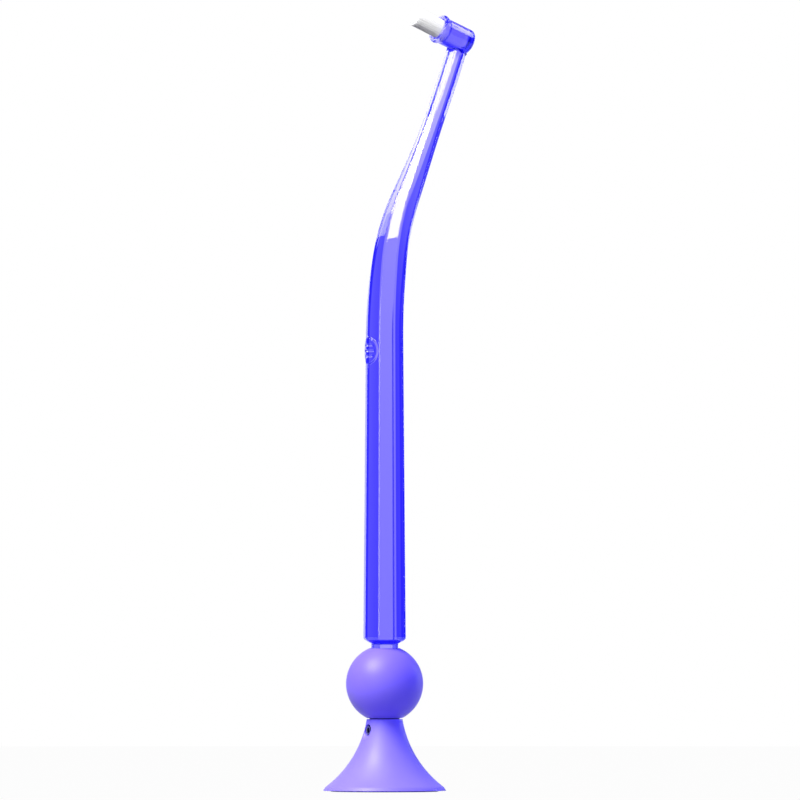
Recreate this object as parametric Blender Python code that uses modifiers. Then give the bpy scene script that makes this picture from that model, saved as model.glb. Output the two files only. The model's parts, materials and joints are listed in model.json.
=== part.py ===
"""Single-tuft orthodontic brush standing in a ball-and-flare stand.

The brush is one clear moulding: an octagonal handle that bends into a slim neck and
carries a small cup with one tuft of bristles. Its spigot drops into a ball that swivels
on a steel spindle in the neck of a weighted foot.

Metres, +Z up. The origin is the centre of the face that the foot stands on. The brush
bends in the XZ plane: its neck leans to +X and the tuft points to -X.
"""

import math
import random

import bmesh
import bpy
from mathutils import Matrix, Vector

MM = 0.001

# Clearances
FIT_GAP = 0.3 * MM
SEAM_GAP = 0.3 * MM

# Foot shell
FOOT_HEIGHT = 20.65 * MM
FOOT_NECK_RADIUS = 5.1 * MM
FLARE_RADIUS = 30.4 * MM
RIM_RADIUS = 17.5 * MM
RIM_SHOULDER_RADIUS = 16.9 * MM
RIM_SHOULDER_HEIGHT = 1.3 * MM
RIM_CLEARANCE = 0.25 * MM
FOOT_WALL = 1.8 * MM
HOLLOW_HEIGHT = 11.0 * MM
BOSS_RADIUS = 4.4 * MM
BOSS_FLOOR = 1.4 * MM

# Foot pad and ballast
PAD_RADIUS = 15.4 * MM
PAD_THICKNESS = 1.4 * MM
PAD_EDGE_ROUND = 0.3 * MM
BALLAST_HEIGHT = 8.6 * MM

# Spindle and thrust washer
SPINDLE_RADIUS = 2.6 * MM
SPINDLE_DEPTH = 12.2 * MM
SPINDLE_CHAMFER = 0.4 * MM
SHANK_RADIUS = 3.0 * MM
SHANK_LENGTH = 6.2 * MM
GROOVE_RADIUS = 1.8 * MM
GROOVE_WIDTH = 2.4 * MM
WASHER_RADIUS = 4.3 * MM
WASHER_THICKNESS = 0.6 * MM
WASHER_WALL_GAP = 0.2 * MM

# Set screw
SCREW_HEIGHT = 17.5 * MM
SCREW_RADIUS = 1.45 * MM
SCREW_SINK = 0.35 * MM
SCREW_CHAMFER = 0.25 * MM
SCREW_GAP = 0.25 * MM
HEX_ACROSS_FLATS = 1.5 * MM
HEX_DEPTH = 1.4 * MM
DOG_RADIUS = 0.8 * MM
DOG_LENGTH = 0.7 * MM

# Ball
BALL_RADIUS = 11.0 * MM
BALL_SEAT_RADIUS = 5.0 * MM
SOCKET_DEPTH = 11.7 * MM
SOCKET_LEAD_IN = 0.15 * MM

# Brush handle
HANDLE_STANDOFF = 0.45 * MM
SPIGOT_RADIUS = 4.05 * MM
SPIGOT_CHAMFER = 0.5 * MM
SHOULDER_CONE = math.radians(27)
SHOULDER_ROUND = 1.15 * MM
HANDLE_RADIUS = 6.3 * MM
HANDLE_TOP_RADIUS = 5.45 * MM
EDGE_ROUND = 0.45 * MM
HANDLE_LENGTH = 86.5 * MM

# Brush bend and neck
LEAD_IN_RADIUS = 160.7 * MM
LEAD_IN_LEAN = math.radians(7.66)
BEND_RADIUS = 70.3 * MM
BEND_LEAN = math.radians(24.43)
BOW_RADIUS = 533.0 * MM
NECK_RUN = 48.2 * MM
SLIM_START = 14.3 * MM
SLIM_LENGTH = 54.6 * MM
TWIST_LENGTH = 78.0 * MM
NECK_TWIST = math.radians(32)
NECK_RADIUS = 2.92 * MM
NECK_FILLET = 1.3 * MM
NECK_FILLET_FLARE = 0.2 * MM

# Thumb pad on the handle's front edge
THUMB_PAD_DROP = 3.05 * MM
THUMB_PAD_HEIGHT = 8.0 * MM
THUMB_PAD_WIDTH = 7.2 * MM
THUMB_PAD_PROUD = 0.4 * MM
RIB_COUNT = 3
RIB_PITCH = 1.6 * MM
RIB_GROOVE_WIDTH = 0.55 * MM
RIB_GROOVE_DEPTH = 0.22 * MM

# Brush head
HEAD_ANGLE = math.radians(86.4)
HEAD_RADIUS = 3.8 * MM
HEAD_LENGTH = 11.35 * MM
HEAD_SETBACK = 8.05 * MM
HEAD_REAR_ROUND = 1.3 * MM
HEAD_CROWN = 0.2 * MM
BEAD_PROUD = 0.42 * MM
BEAD_WIDTH = 1.5 * MM
MOUTH_EDGE = 0.25 * MM
BORE_RADIUS = 3.15 * MM
BORE_DEPTH = 2.7 * MM

# Bristle tuft and its anchor plate
TUFT_LENGTH = 9.7 * MM
TUFT_DOME = 1.5 * MM
TUFT_LEAN = 0.15 * MM
TUFT_WALL_GAP = 0.4 * MM
TUFT_FLARE = 1.02
ROOT_THICKNESS = 2.2 * MM
STRAND_ROWS = 8
STRAND_MARGIN = 0.05 * MM
STRAND_TAPER = 0.55
STRAND_UNEVENNESS = 0.12 * MM
ANCHOR_LENGTH = 5.4 * MM
ANCHOR_HEIGHT = 1.2 * MM
ANCHOR_THICKNESS = 0.35 * MM

# Cross-section of the brush, and of the ball's socket that keeps it from turning
SIDES = 8
SIDE_ANGLE = 360.0 / SIDES
APOTHEM_RATIO = math.cos(math.pi / SIDES)

# Facets of the round pieces and stations along the brush
HOLE_STEPS = 20
COARSE_STEPS = 32
FINE_STEPS = 40
FLARE_STEPS = 14
INNER_FLARE_STEPS = 8
BALL_STEPS = 19
CORNER_STEPS = 6
EDGE_STEPS = 3
HANDLE_STEPS = 3
NECK_STEPS = 30
FILLET_STEPS = 4
WELD_DISTANCE = 0.005 * MM
BRISTLE_SEED = 7

# Heights that follow from the sizes above
BALL_SEAT = FOOT_HEIGHT + SEAM_GAP
BALL_CENTRE = BALL_SEAT + math.sqrt(BALL_RADIUS**2 - BALL_SEAT_RADIUS**2)
BALL_TOP = BALL_CENTRE + BALL_RADIUS
SOCKET_FLOOR = BALL_TOP - SOCKET_DEPTH
SPIGOT_END = SOCKET_FLOOR + FIT_GAP
HANDLE_BOTTOM = BALL_TOP + HANDLE_STANDOFF
BORE_FLOOR = FOOT_HEIGHT - SPINDLE_DEPTH - FIT_GAP
SPINDLE_BORE = SPINDLE_RADIUS + FIT_GAP
WASHER_RECESS = WASHER_RADIUS + WASHER_WALL_GAP


def clear_scene():
    """Remove every object that the file opened with."""
    for old in list(bpy.data.objects):
        bpy.data.objects.remove(old)


def new_collection(name):
    collection = bpy.data.collections.new(name)
    bpy.context.scene.collection.children.link(collection)
    return collection


def add_object(name, data, collection):
    obj = bpy.data.objects.new(name, data)
    collection.objects.link(obj)
    return obj


def add_pivot(name, location, collection, parent=None):
    """An empty at a place in the world that moving pieces hang from."""
    pivot = add_object(name, None, collection)
    pivot.empty_display_size = 5 * MM
    pivot.parent = parent
    pivot.location = Vector(location) - (world_place(parent) if parent else Vector())
    return pivot


def world_place(obj):
    """Where an unturned object stands in the world, summed up its parents."""
    place = obj.location.copy()
    while obj.parent:
        obj = obj.parent
        place += obj.location
    return place


def hang(obj, pivot, place, turn=None):
    """Parent an object to a pivot, at a place and a turn given in the world."""
    obj.parent = pivot
    obj.location = Vector(place) - world_place(pivot)
    if turn is not None:
        obj.rotation_euler = turn.to_euler()


def add_material(obj, colour, roughness, metallic=0.0, alpha=1.0):
    """Give an object its own Principled material."""
    material = bpy.data.materials.new(obj.name)
    material.use_nodes = True
    shader = material.node_tree.nodes["Principled BSDF"]
    shader.inputs["Base Color"].default_value = (*colour, 1.0)
    shader.inputs["Roughness"].default_value = roughness
    shader.inputs["Metallic"].default_value = metallic
    shader.inputs["Alpha"].default_value = alpha
    material.diffuse_color = (*colour, alpha)
    obj.data.materials.clear()
    obj.data.materials.append(material)


def make_cutter(obj):
    """Mark a guide or cutter, which is not a piece of the product."""
    obj.hide_render = True
    obj.display_type = "WIRE"
    return obj


def add_boolean(obj, other, operation):
    modifier = obj.modifiers.new(f"{operation.lower()} {other.name}", "BOOLEAN")
    modifier.operation = operation
    modifier.solver = "EXACT"
    modifier.object = other


def shade_round(obj, sharp_angle=30):
    """Shade smooth, but keep the edges sharper than an angle in degrees."""
    obj.data.shade_smooth()
    obj.data.set_sharp_from_angle(angle=math.radians(sharp_angle))


def arc(centre, radius, start, end, count):
    """Points of (radius, height) on an arc between two angles in degrees."""
    steps = [start + (end - start) * i / (count - 1) for i in range(count)]
    angles = [math.radians(step) for step in steps]
    return [(centre[0] + radius * math.cos(a), centre[1] + radius * math.sin(a)) for a in angles]


def turned(name, profile, collection, steps=FINE_STEPS):
    """Turn a profile of (radius, height) points about Z.

    The profile runs from top to bottom down the outside. It ends on the axis, or it
    closes on itself where the piece is a ring.
    """
    mesh = bpy.data.meshes.new(name)
    points = [(radius, 0.0, height) for radius, height in profile]
    edges = [(i, i + 1) for i in range(len(points) - 1)]
    if profile[0][0] > 0:
        edges.append((len(points) - 1, 0))
    mesh.from_pydata(points, edges, [])
    obj = add_object(name, mesh, collection)
    screw = obj.modifiers.new("turn", "SCREW")
    screw.angle = 2 * math.pi
    screw.steps = steps
    screw.render_steps = steps
    screw.use_merge_vertices = True
    screw.merge_threshold = WELD_DISTANCE
    screw.use_smooth_shade = True
    return obj


def prism(name, sides, radius, depth, collection, centre=(0, 0, 0), width_ratio=1.0, widen=0.0):
    """A prism or cylinder along Z about its centre, widened at its top where asked.

    Its Y size is a ratio of its X size.
    """
    bm = bmesh.new()
    bmesh.ops.create_cone(
        bm, cap_ends=True, segments=sides, radius1=radius, radius2=radius + widen, depth=depth
    )
    bmesh.ops.scale(bm, verts=bm.verts, vec=(1.0, width_ratio, 1.0))
    bmesh.ops.translate(bm, verts=bm.verts, vec=centre)
    mesh = bpy.data.meshes.new(name)
    bm.to_mesh(mesh)
    bm.free()
    return add_object(name, mesh, collection)


def block(name, size, collection, centre=(0, 0, 0)):
    bm = bmesh.new()
    bmesh.ops.create_cube(bm, size=1.0)
    bmesh.ops.scale(bm, verts=bm.verts, vec=size)
    bmesh.ops.translate(bm, verts=bm.verts, vec=centre)
    mesh = bpy.data.meshes.new(name)
    bm.to_mesh(mesh)
    bm.free()
    return add_object(name, mesh, collection)


def flare_centre():
    """Centre (radius, height) of the flare's arc, from its two ends and its radius."""
    top = Vector((FOOT_NECK_RADIUS, FOOT_HEIGHT))
    low = Vector((RIM_SHOULDER_RADIUS, RIM_SHOULDER_HEIGHT))
    chord = low - top
    reach = math.sqrt(FLARE_RADIUS**2 - (chord.length / 2) ** 2)
    outward = Vector((-chord.y, chord.x)).normalized()
    return (top + low) / 2 + outward * reach


def flare_radius(height, inset=0.0):
    """Radius of the foot at a height, or of a surface inset under its skin."""
    centre = flare_centre()
    return centre.x - math.sqrt((FLARE_RADIUS + inset) ** 2 - (centre.y - height) ** 2)


def flare(top, low, inset=0.0, count=INNER_FLARE_STEPS):
    """Points down the flare between two heights."""
    heights = [top + (low - top) * i / (count - 1) for i in range(count)]
    return [(flare_radius(height, inset), height) for height in heights]


def foot_shell(parts, cutters, pivot):
    """Flared shell, open below, with a boss in its neck that takes the spindle."""
    recess_floor = FOOT_HEIGHT - WASHER_THICKNESS / 2 - FIT_GAP / 2
    pad_top = PAD_THICKNESS + FIT_GAP
    boss_end = BORE_FLOOR - BOSS_FLOOR
    profile = [(0, BORE_FLOOR), (SPINDLE_BORE, BORE_FLOOR), (SPINDLE_BORE, recess_floor)]
    profile += [(WASHER_RECESS, recess_floor), (WASHER_RECESS, FOOT_HEIGHT)]
    profile += flare(FOOT_HEIGHT, RIM_SHOULDER_HEIGHT, count=FLARE_STEPS)
    profile += [(RIM_RADIUS, RIM_CLEARANCE)]
    profile += [(PAD_RADIUS + FIT_GAP, RIM_CLEARANCE), (PAD_RADIUS + FIT_GAP, pad_top)]
    profile += flare(pad_top, HOLLOW_HEIGHT, FOOT_WALL)
    profile += [(BOSS_RADIUS, HOLLOW_HEIGHT), (BOSS_RADIUS, boss_end), (0, boss_end)]
    shell = turned("foot_shell", profile, parts)
    length = 2 * FOOT_NECK_RADIUS
    centre = (0, 0, length / 2)
    hole = prism("cut_screw_hole", HOLE_STEPS, SCREW_RADIUS + SCREW_GAP, length, cutters, centre)
    hang(make_cutter(hole), pivot, (0, 0, SCREW_HEIGHT), screw_turn())
    add_boolean(shell, hole, "DIFFERENCE")
    add_material(shell, (0.23, 0.16, 0.95), 0.55)
    hang(shell, pivot, (0, 0, 0))


def screw_turn():
    """Turns a piece's own +Z to point out of the front of the foot, along -X."""
    return Matrix.Rotation(-math.pi / 2, 3, "Y")


def foot_pad(parts, pivot):
    """Soft disc that closes the foot and stands on the table."""
    profile = [(0, PAD_THICKNESS), (PAD_RADIUS, PAD_THICKNESS)]
    profile += [(PAD_RADIUS, PAD_EDGE_ROUND), (PAD_RADIUS - PAD_EDGE_ROUND, 0), (0, 0)]
    pad = turned("foot_pad", profile, parts)
    add_material(pad, (0.05, 0.045, 0.09), 0.9)
    hang(pad, pivot, (0, 0, 0))


def ballast_weight(parts, pivot):
    """Steel weight that fills the flare and has a pocket for the spindle's boss."""
    low = PAD_THICKNESS + FIT_GAP
    top = low + BALLAST_HEIGHT
    pocket = BOSS_RADIUS + FIT_GAP
    pocket_floor = BORE_FLOOR - BOSS_FLOOR - FIT_GAP
    profile = [(0, pocket_floor), (pocket, pocket_floor), (pocket, top)]
    profile += flare(top, low, FOOT_WALL + FIT_GAP)
    profile += [(0, low)]
    weight = turned("ballast_weight", profile, parts, COARSE_STEPS)
    add_material(weight, (0.35, 0.35, 0.36), 0.45, 1.0)
    hang(weight, pivot, (0, 0, 0))


def swivel_spindle(parts, pivot):
    """Turned steel pin: shank in the ball, journal in the foot, groove for the screw."""
    shank_end = BALL_SEAT + SHANK_LENGTH
    shank_low = BALL_SEAT + WASHER_THICKNESS
    low = FOOT_HEIGHT - SPINDLE_DEPTH
    groove_top = SCREW_HEIGHT + GROOVE_WIDTH / 2
    groove_low = SCREW_HEIGHT - GROOVE_WIDTH / 2
    profile = [(0, shank_end), (SHANK_RADIUS - SPINDLE_CHAMFER, shank_end)]
    profile += [(SHANK_RADIUS, shank_end - SPINDLE_CHAMFER), (SHANK_RADIUS, shank_low)]
    profile += [(SPINDLE_RADIUS, shank_low), (SPINDLE_RADIUS, groove_top)]
    profile += [(GROOVE_RADIUS, groove_top), (GROOVE_RADIUS, groove_low)]
    profile += [(SPINDLE_RADIUS, groove_low), (SPINDLE_RADIUS, low + SPINDLE_CHAMFER)]
    profile += [(SPINDLE_RADIUS - SPINDLE_CHAMFER, low), (0, low)]
    local = [(radius, height - BALL_SEAT) for radius, height in profile]
    pin = turned("swivel_spindle", local, parts, COARSE_STEPS)
    add_material(pin, (0.6, 0.6, 0.62), 0.3, 1.0)
    hang(pin, pivot, (0, 0, BALL_SEAT))


def set_screw(parts, cutters, pivot):
    """Socket set screw in the foot's neck, its dog point in the spindle's groove."""
    face = flare_radius(SCREW_HEIGHT) - SCREW_SINK
    tip = GROOVE_RADIUS + FIT_GAP
    shoulder = tip + DOG_LENGTH
    profile = [(0, face), (SCREW_RADIUS - SCREW_CHAMFER, face), (SCREW_RADIUS, face - SCREW_CHAMFER)]
    profile += [(SCREW_RADIUS, shoulder + SCREW_CHAMFER), (SCREW_RADIUS - SCREW_CHAMFER, shoulder)]
    profile += [(DOG_RADIUS, shoulder), (DOG_RADIUS, tip), (0, tip)]
    screw = turned("set_screw", profile, parts, HOLE_STEPS)
    hex_radius = HEX_ACROSS_FLATS / 2 / math.cos(math.pi / 6)
    centre = (0, 0, face - HEX_DEPTH / 2 + FIT_GAP / 2)
    hexagon = prism("cut_hex_socket", 6, hex_radius, HEX_DEPTH + FIT_GAP, cutters, centre)
    hang(make_cutter(hexagon), pivot, (0, 0, SCREW_HEIGHT), screw_turn())
    add_boolean(screw, hexagon, "DIFFERENCE")
    add_material(screw, (0.55, 0.55, 0.58), 0.2, 1.0)
    hang(screw, pivot, (0, 0, SCREW_HEIGHT), screw_turn())


def thrust_washer(parts, pivot):
    """Slip washer between the foot's neck and the ball."""
    half = WASHER_THICKNESS / 2
    profile = [(SPINDLE_BORE, half), (WASHER_RADIUS, half)]
    profile += [(WASHER_RADIUS, -half), (SPINDLE_BORE, -half)]
    washer = turned("thrust_washer", profile, parts, COARSE_STEPS)
    add_material(washer, (0.03, 0.02, 0.2), 0.4)
    hang(washer, pivot, (0, 0, FOOT_HEIGHT + SEAM_GAP / 2))


def stand_ball(parts, cutters, pivot):
    """Ball with an eight-sided socket above and a round bore for the spindle below."""
    seat_angle = -math.degrees(math.acos(BALL_SEAT_RADIUS / BALL_RADIUS))
    seat = BALL_SEAT - BALL_CENTRE
    recess_roof = seat + WASHER_THICKNESS / 2 + FIT_GAP / 2
    shank_bore = SHANK_RADIUS + FIT_GAP
    bore_top = seat + SHANK_LENGTH + FIT_GAP
    profile = [(0, BALL_RADIUS)] + arc((0, 0), BALL_RADIUS, 90, seat_angle, BALL_STEPS)[1:]
    profile += [(WASHER_RECESS, seat), (WASHER_RECESS, recess_roof)]
    profile += [(shank_bore, recess_roof), (shank_bore, bore_top), (0, bore_top)]
    ball = turned("stand_ball", profile, parts)
    radius = SPIGOT_RADIUS + FIT_GAP / APOTHEM_RATIO
    length = SOCKET_DEPTH + FIT_GAP
    centre = (0, 0, BALL_RADIUS - SOCKET_DEPTH + length / 2)
    socket = make_cutter(prism("cut_socket", SIDES, radius, length, cutters, centre))
    hang(socket, pivot, (0, 0, BALL_CENTRE))
    add_boolean(ball, socket, "DIFFERENCE")
    lead_low = math.sqrt(BALL_RADIUS**2 - radius**2) - SOCKET_LEAD_IN
    rise = BALL_RADIUS - lead_low
    centre = (0, 0, lead_low + rise / 2)
    cone = prism("cut_socket_lead_in", SIDES, radius, rise, cutters, centre, widen=rise)
    hang(make_cutter(cone), pivot, (0, 0, BALL_CENTRE))
    add_boolean(ball, cone, "DIFFERENCE")
    add_material(ball, (0.16, 0.1, 0.9), 0.5)
    hang(ball, pivot, (0, 0, BALL_CENTRE))


def centre_line(run):
    """Place (x, z) and lean of the brush's centre line, at a run past the straight handle.

    The line leaves the vertical on a wide arc, tightens into the bend, and bows gently
    back along the neck.
    """
    arcs = [
        (LEAD_IN_RADIUS, LEAD_IN_RADIUS * LEAD_IN_LEAN),
        (BEND_RADIUS, BEND_RADIUS * (BEND_LEAN - LEAD_IN_LEAN)),
        (-BOW_RADIUS, NECK_RUN),
    ]
    x, z, lean = 0.0, HANDLE_BOTTOM + HANDLE_LENGTH, 0.0
    for index, (radius, length) in enumerate(arcs):
        last = index == len(arcs) - 1
        part_run = run if last else min(run, length)
        turn = part_run / radius
        x += radius * (math.cos(lean) - math.cos(lean + turn))
        z += radius * (math.sin(lean + turn) - math.sin(lean))
        lean += turn
        run -= part_run
        if run <= 0:
            break
    return x, z, lean


def neck_length():
    """Run from the straight handle's end to the head's axis."""
    return LEAD_IN_RADIUS * LEAD_IN_LEAN + BEND_RADIUS * (BEND_LEAN - LEAD_IN_LEAN) + NECK_RUN


def handle_radius(run):
    """Circumradius of the octagon at a run, negative on the straight handle.

    It tapers evenly up the handle, then slims to the neck's radius in one smooth step.
    """
    along = (run + HANDLE_LENGTH) / (SLIM_START + HANDLE_LENGTH)
    taper = HANDLE_RADIUS + (HANDLE_TOP_RADIUS - HANDLE_RADIUS) * min(along, 1.0)
    return taper + (NECK_RADIUS - taper) * smooth_step((run - SLIM_START) / SLIM_LENGTH)


def neck_twist(run):
    """Angle that the octagon has turned about the centre line at a run.

    It turns clockwise, as seen from the head.
    """
    return -NECK_TWIST * smooth_step(run / TWIST_LENGTH)


def smooth_step(share):
    """Rise from 0 to 1 that is level at both ends."""
    share = min(max(share, 0.0), 1.0)
    return share * share * (3 - 2 * share)


def neck_station(run, flare_out=0.0):
    """Station (x, z, radius, twist) on the bend or the neck."""
    x, z, _ = centre_line(run)
    return x, z, handle_radius(run) + flare_out, neck_twist(run)


def shoulder_stations():
    """Stations (x, z, radius, twist) from the spigot's end round the lower shoulder."""
    start = HANDLE_RADIUS - SHOULDER_ROUND * (1 - math.sin(SHOULDER_CONE))
    rise = (start - SPIGOT_RADIUS) * math.tan(SHOULDER_CONE)
    centre_height = HANDLE_BOTTOM + rise + SHOULDER_ROUND * math.cos(SHOULDER_CONE)
    centre = (HANDLE_RADIUS - SHOULDER_ROUND, centre_height)
    stations = [(SPIGOT_RADIUS - SPIGOT_CHAMFER, SPIGOT_END)]
    stations += [(SPIGOT_RADIUS, SPIGOT_END + SPIGOT_CHAMFER), (SPIGOT_RADIUS, HANDLE_BOTTOM)]
    stations += arc(centre, SHOULDER_ROUND, math.degrees(SHOULDER_CONE) - 90, 0, CORNER_STEPS)
    return [(0.0, z, radius, 0.0) for radius, z in stations]


def brush_stations():
    """All stations of the brush, from the spigot's end to the head's axis."""
    stations = shoulder_stations()
    shoulder_end = stations[-1][1]
    straight_end = HANDLE_BOTTOM + HANDLE_LENGTH
    for index in range(1, HANDLE_STEPS):
        z = shoulder_end + (straight_end - shoulder_end) * index / HANDLE_STEPS
        stations.append((0.0, z, handle_radius(z - straight_end), 0.0))
    fillet_start = neck_length() - HEAD_RADIUS - NECK_FILLET
    stations += [neck_station(fillet_start * index / NECK_STEPS) for index in range(NECK_STEPS + 1)]
    for index in range(1, FILLET_STEPS + 1):
        share = index / FILLET_STEPS
        flare_out = NECK_FILLET_FLARE * (1 - math.sqrt(1 - share**2))
        stations.append(neck_station(fillet_start + NECK_FILLET * share, flare_out))
    stations.append(neck_station(neck_length()))
    return stations


def rounded_octagon(name, collection):
    """Flat curve: a regular octagon of unit circumradius with rounded corners."""
    corner = EDGE_ROUND / HANDLE_RADIUS
    reach = 1.0 - corner / APOTHEM_RATIO
    half = SIDE_ANGLE / 2
    points = []
    for side in range(SIDES):
        middle = side * SIDE_ANGLE
        centre = (reach * math.cos(math.radians(middle)), reach * math.sin(math.radians(middle)))
        points += arc(centre, corner, middle - half, middle + half, EDGE_STEPS)
    curve = bpy.data.curves.new(name, "CURVE")
    curve.dimensions = "2D"
    spline = curve.splines.new("POLY")
    spline.points.add(len(points) - 1)
    for point, (x, y) in zip(spline.points, points):
        point.co = (x, y, 0.0, 1.0)
    spline.use_cyclic_u = True
    return make_cutter(add_object(name, curve, collection))


def swept(name, stations, octagon, collection):
    """Sweep the octagon along stations of (x, z, radius, twist), as a mesh object."""
    curve = bpy.data.curves.new(name, "CURVE")
    curve.dimensions = "3D"
    curve.bevel_mode = "OBJECT"
    curve.bevel_object = octagon
    curve.use_fill_caps = True
    curve.resolution_u = 1
    curve.render_resolution_u = 0
    spline = curve.splines.new("POLY")
    spline.points.add(len(stations) - 1)
    for point, (x, z, radius, twist) in zip(spline.points, stations):
        point.co = (x, 0.0, z, 1.0)
        point.radius = radius
        point.tilt = twist
    guide = add_object(name + "_sweep", curve, collection)
    bpy.context.view_layer.update()
    evaluated = guide.evaluated_get(bpy.context.evaluated_depsgraph_get())
    mesh = bpy.data.meshes.new_from_object(evaluated)
    bm = bmesh.new()
    bm.from_mesh(mesh)
    bmesh.ops.remove_doubles(bm, verts=bm.verts, dist=WELD_DISTANCE)
    bmesh.ops.recalc_face_normals(bm, faces=bm.faces)
    bm.to_mesh(mesh)
    bm.free()
    obj = add_object(name, mesh, collection)
    obj.matrix_world = guide.matrix_world
    bpy.data.objects.remove(guide)
    return obj


def head_frame():
    """Place of the cup's mouth and the turn that takes +Z to the tuft's direction."""
    x, z, lean = centre_line(neck_length())
    angle = math.pi / 2 - lean + HEAD_ANGLE
    tuft = Vector((math.cos(angle), 0.0, math.sin(angle)))
    mouth = Vector((x, 0.0, z)) + tuft * HEAD_SETBACK
    return mouth, Matrix.Rotation(math.pi / 2 - angle, 3, "Y")


def head_blank(cutters, pivot):
    """The cup's outside, rear face at the bottom and mouth at height zero."""
    mouth, turn = head_frame()
    rear = -HEAD_LENGTH
    corner = (HEAD_RADIUS - HEAD_REAR_ROUND, rear + HEAD_CROWN + HEAD_REAR_ROUND)
    bead_radius = HEAD_RADIUS + BEAD_PROUD
    profile = [(0, 0), (bead_radius - MOUTH_EDGE, 0), (bead_radius, -MOUTH_EDGE)]
    profile += [(bead_radius, -BEAD_WIDTH + BEAD_PROUD), (HEAD_RADIUS, -BEAD_WIDTH)]
    profile += arc(corner, HEAD_REAR_ROUND, 0, -90, CORNER_STEPS)
    profile += [(0, rear)]
    blank = make_cutter(turned("blank_head", profile, cutters))
    hang(blank, pivot, mouth, turn)
    return blank


def thumb_pad_blank(octagon, cutters, pivot):
    """Oval pad that wraps the handle's front edge, with grooves that leave low ribs."""
    middle = HANDLE_BOTTOM + HANDLE_LENGTH - THUMB_PAD_DROP
    straight_end = HANDLE_BOTTOM + HANDLE_LENGTH
    ends = (middle - THUMB_PAD_HEIGHT, middle + THUMB_PAD_HEIGHT)
    stations = [(0.0, z, handle_radius(z - straight_end) + THUMB_PAD_PROUD, 0.0) for z in ends]
    pad = make_cutter(swept("blank_thumb_pad", stations, octagon, cutters))
    depth = 2 * HANDLE_RADIUS
    centre = (0, 0, depth / 2)
    half = THUMB_PAD_HEIGHT / 2
    width_ratio = THUMB_PAD_WIDTH / THUMB_PAD_HEIGHT
    oval = prism("cut_pad_oval", COARSE_STEPS, half, depth, cutters, centre, width_ratio)
    hang(make_cutter(oval), pivot, (0, 0, middle), screw_turn())
    add_boolean(pad, oval, "INTERSECT")
    reach = handle_radius(middle - straight_end) + THUMB_PAD_PROUD - RIB_GROOVE_DEPTH
    for index in range(RIB_COUNT):
        height = middle + (index - (RIB_COUNT - 1) / 2) * RIB_PITCH
        groove = thumb_pad_groove(f"cut_rib_groove_{index + 1}", reach, cutters)
        hang(groove, pivot, (0, 0, height))
        add_boolean(pad, groove, "DIFFERENCE")
    hang(pad, pivot, (0, 0, 0))
    return pad


def thumb_pad_groove(name, reach, cutters):
    """A ring with as many sides as the handle, which planes a groove into the pad's faces."""
    outer = reach + 2 * RIB_GROOVE_DEPTH + THUMB_PAD_PROUD
    half = RIB_GROOVE_WIDTH / 2
    profile = [(reach, half), (outer, half), (outer, -half), (reach, -half)]
    return make_cutter(turned(name, profile, cutters, SIDES))


def brush_body(parts, cutters, pivot):
    """The clear moulding: spigot, octagonal handle, neck and cup in one piece."""
    octagon = rounded_octagon("guide_octagon", cutters)
    body = swept("brush_body", brush_stations(), octagon, parts)
    hang(body, pivot, (0, 0, 0))
    add_boolean(body, thumb_pad_blank(octagon, cutters, pivot), "UNION")
    add_boolean(body, head_blank(cutters, pivot), "UNION")
    mouth, turn = head_frame()
    depth = BORE_DEPTH + FIT_GAP
    bore = prism("cut_tuft_bore", COARSE_STEPS, BORE_RADIUS, depth, cutters, (0, 0, FIT_GAP - depth / 2))
    hang(make_cutter(bore), pivot, mouth, turn)
    add_boolean(body, bore, "DIFFERENCE")
    add_material(body, (0.12, 0.08, 0.95), 0.08, alpha=0.6)
    shade_round(body, 20)


def strand_cells(radius):
    """A disc of triangles, one for each strand, as a bmesh."""
    bm = bmesh.new()
    bmesh.ops.create_circle(bm, cap_ends=True, cap_tris=True, radius=1.0, segments=6)
    bmesh.ops.subdivide_edges(bm, edges=bm.edges, cuts=STRAND_ROWS - 1, use_grid_fill=True)
    for vertex in bm.verts:
        angle = math.atan2(vertex.co.x, vertex.co.y)
        from_corner = (angle + math.pi / 6) % (math.pi / 3) - math.pi / 6
        hexagon_reach = math.cos(math.pi / 6) / math.cos(abs(from_corner) - math.pi / 6)
        vertex.co = vertex.co * (radius / hexagon_reach)
    return bm


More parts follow.
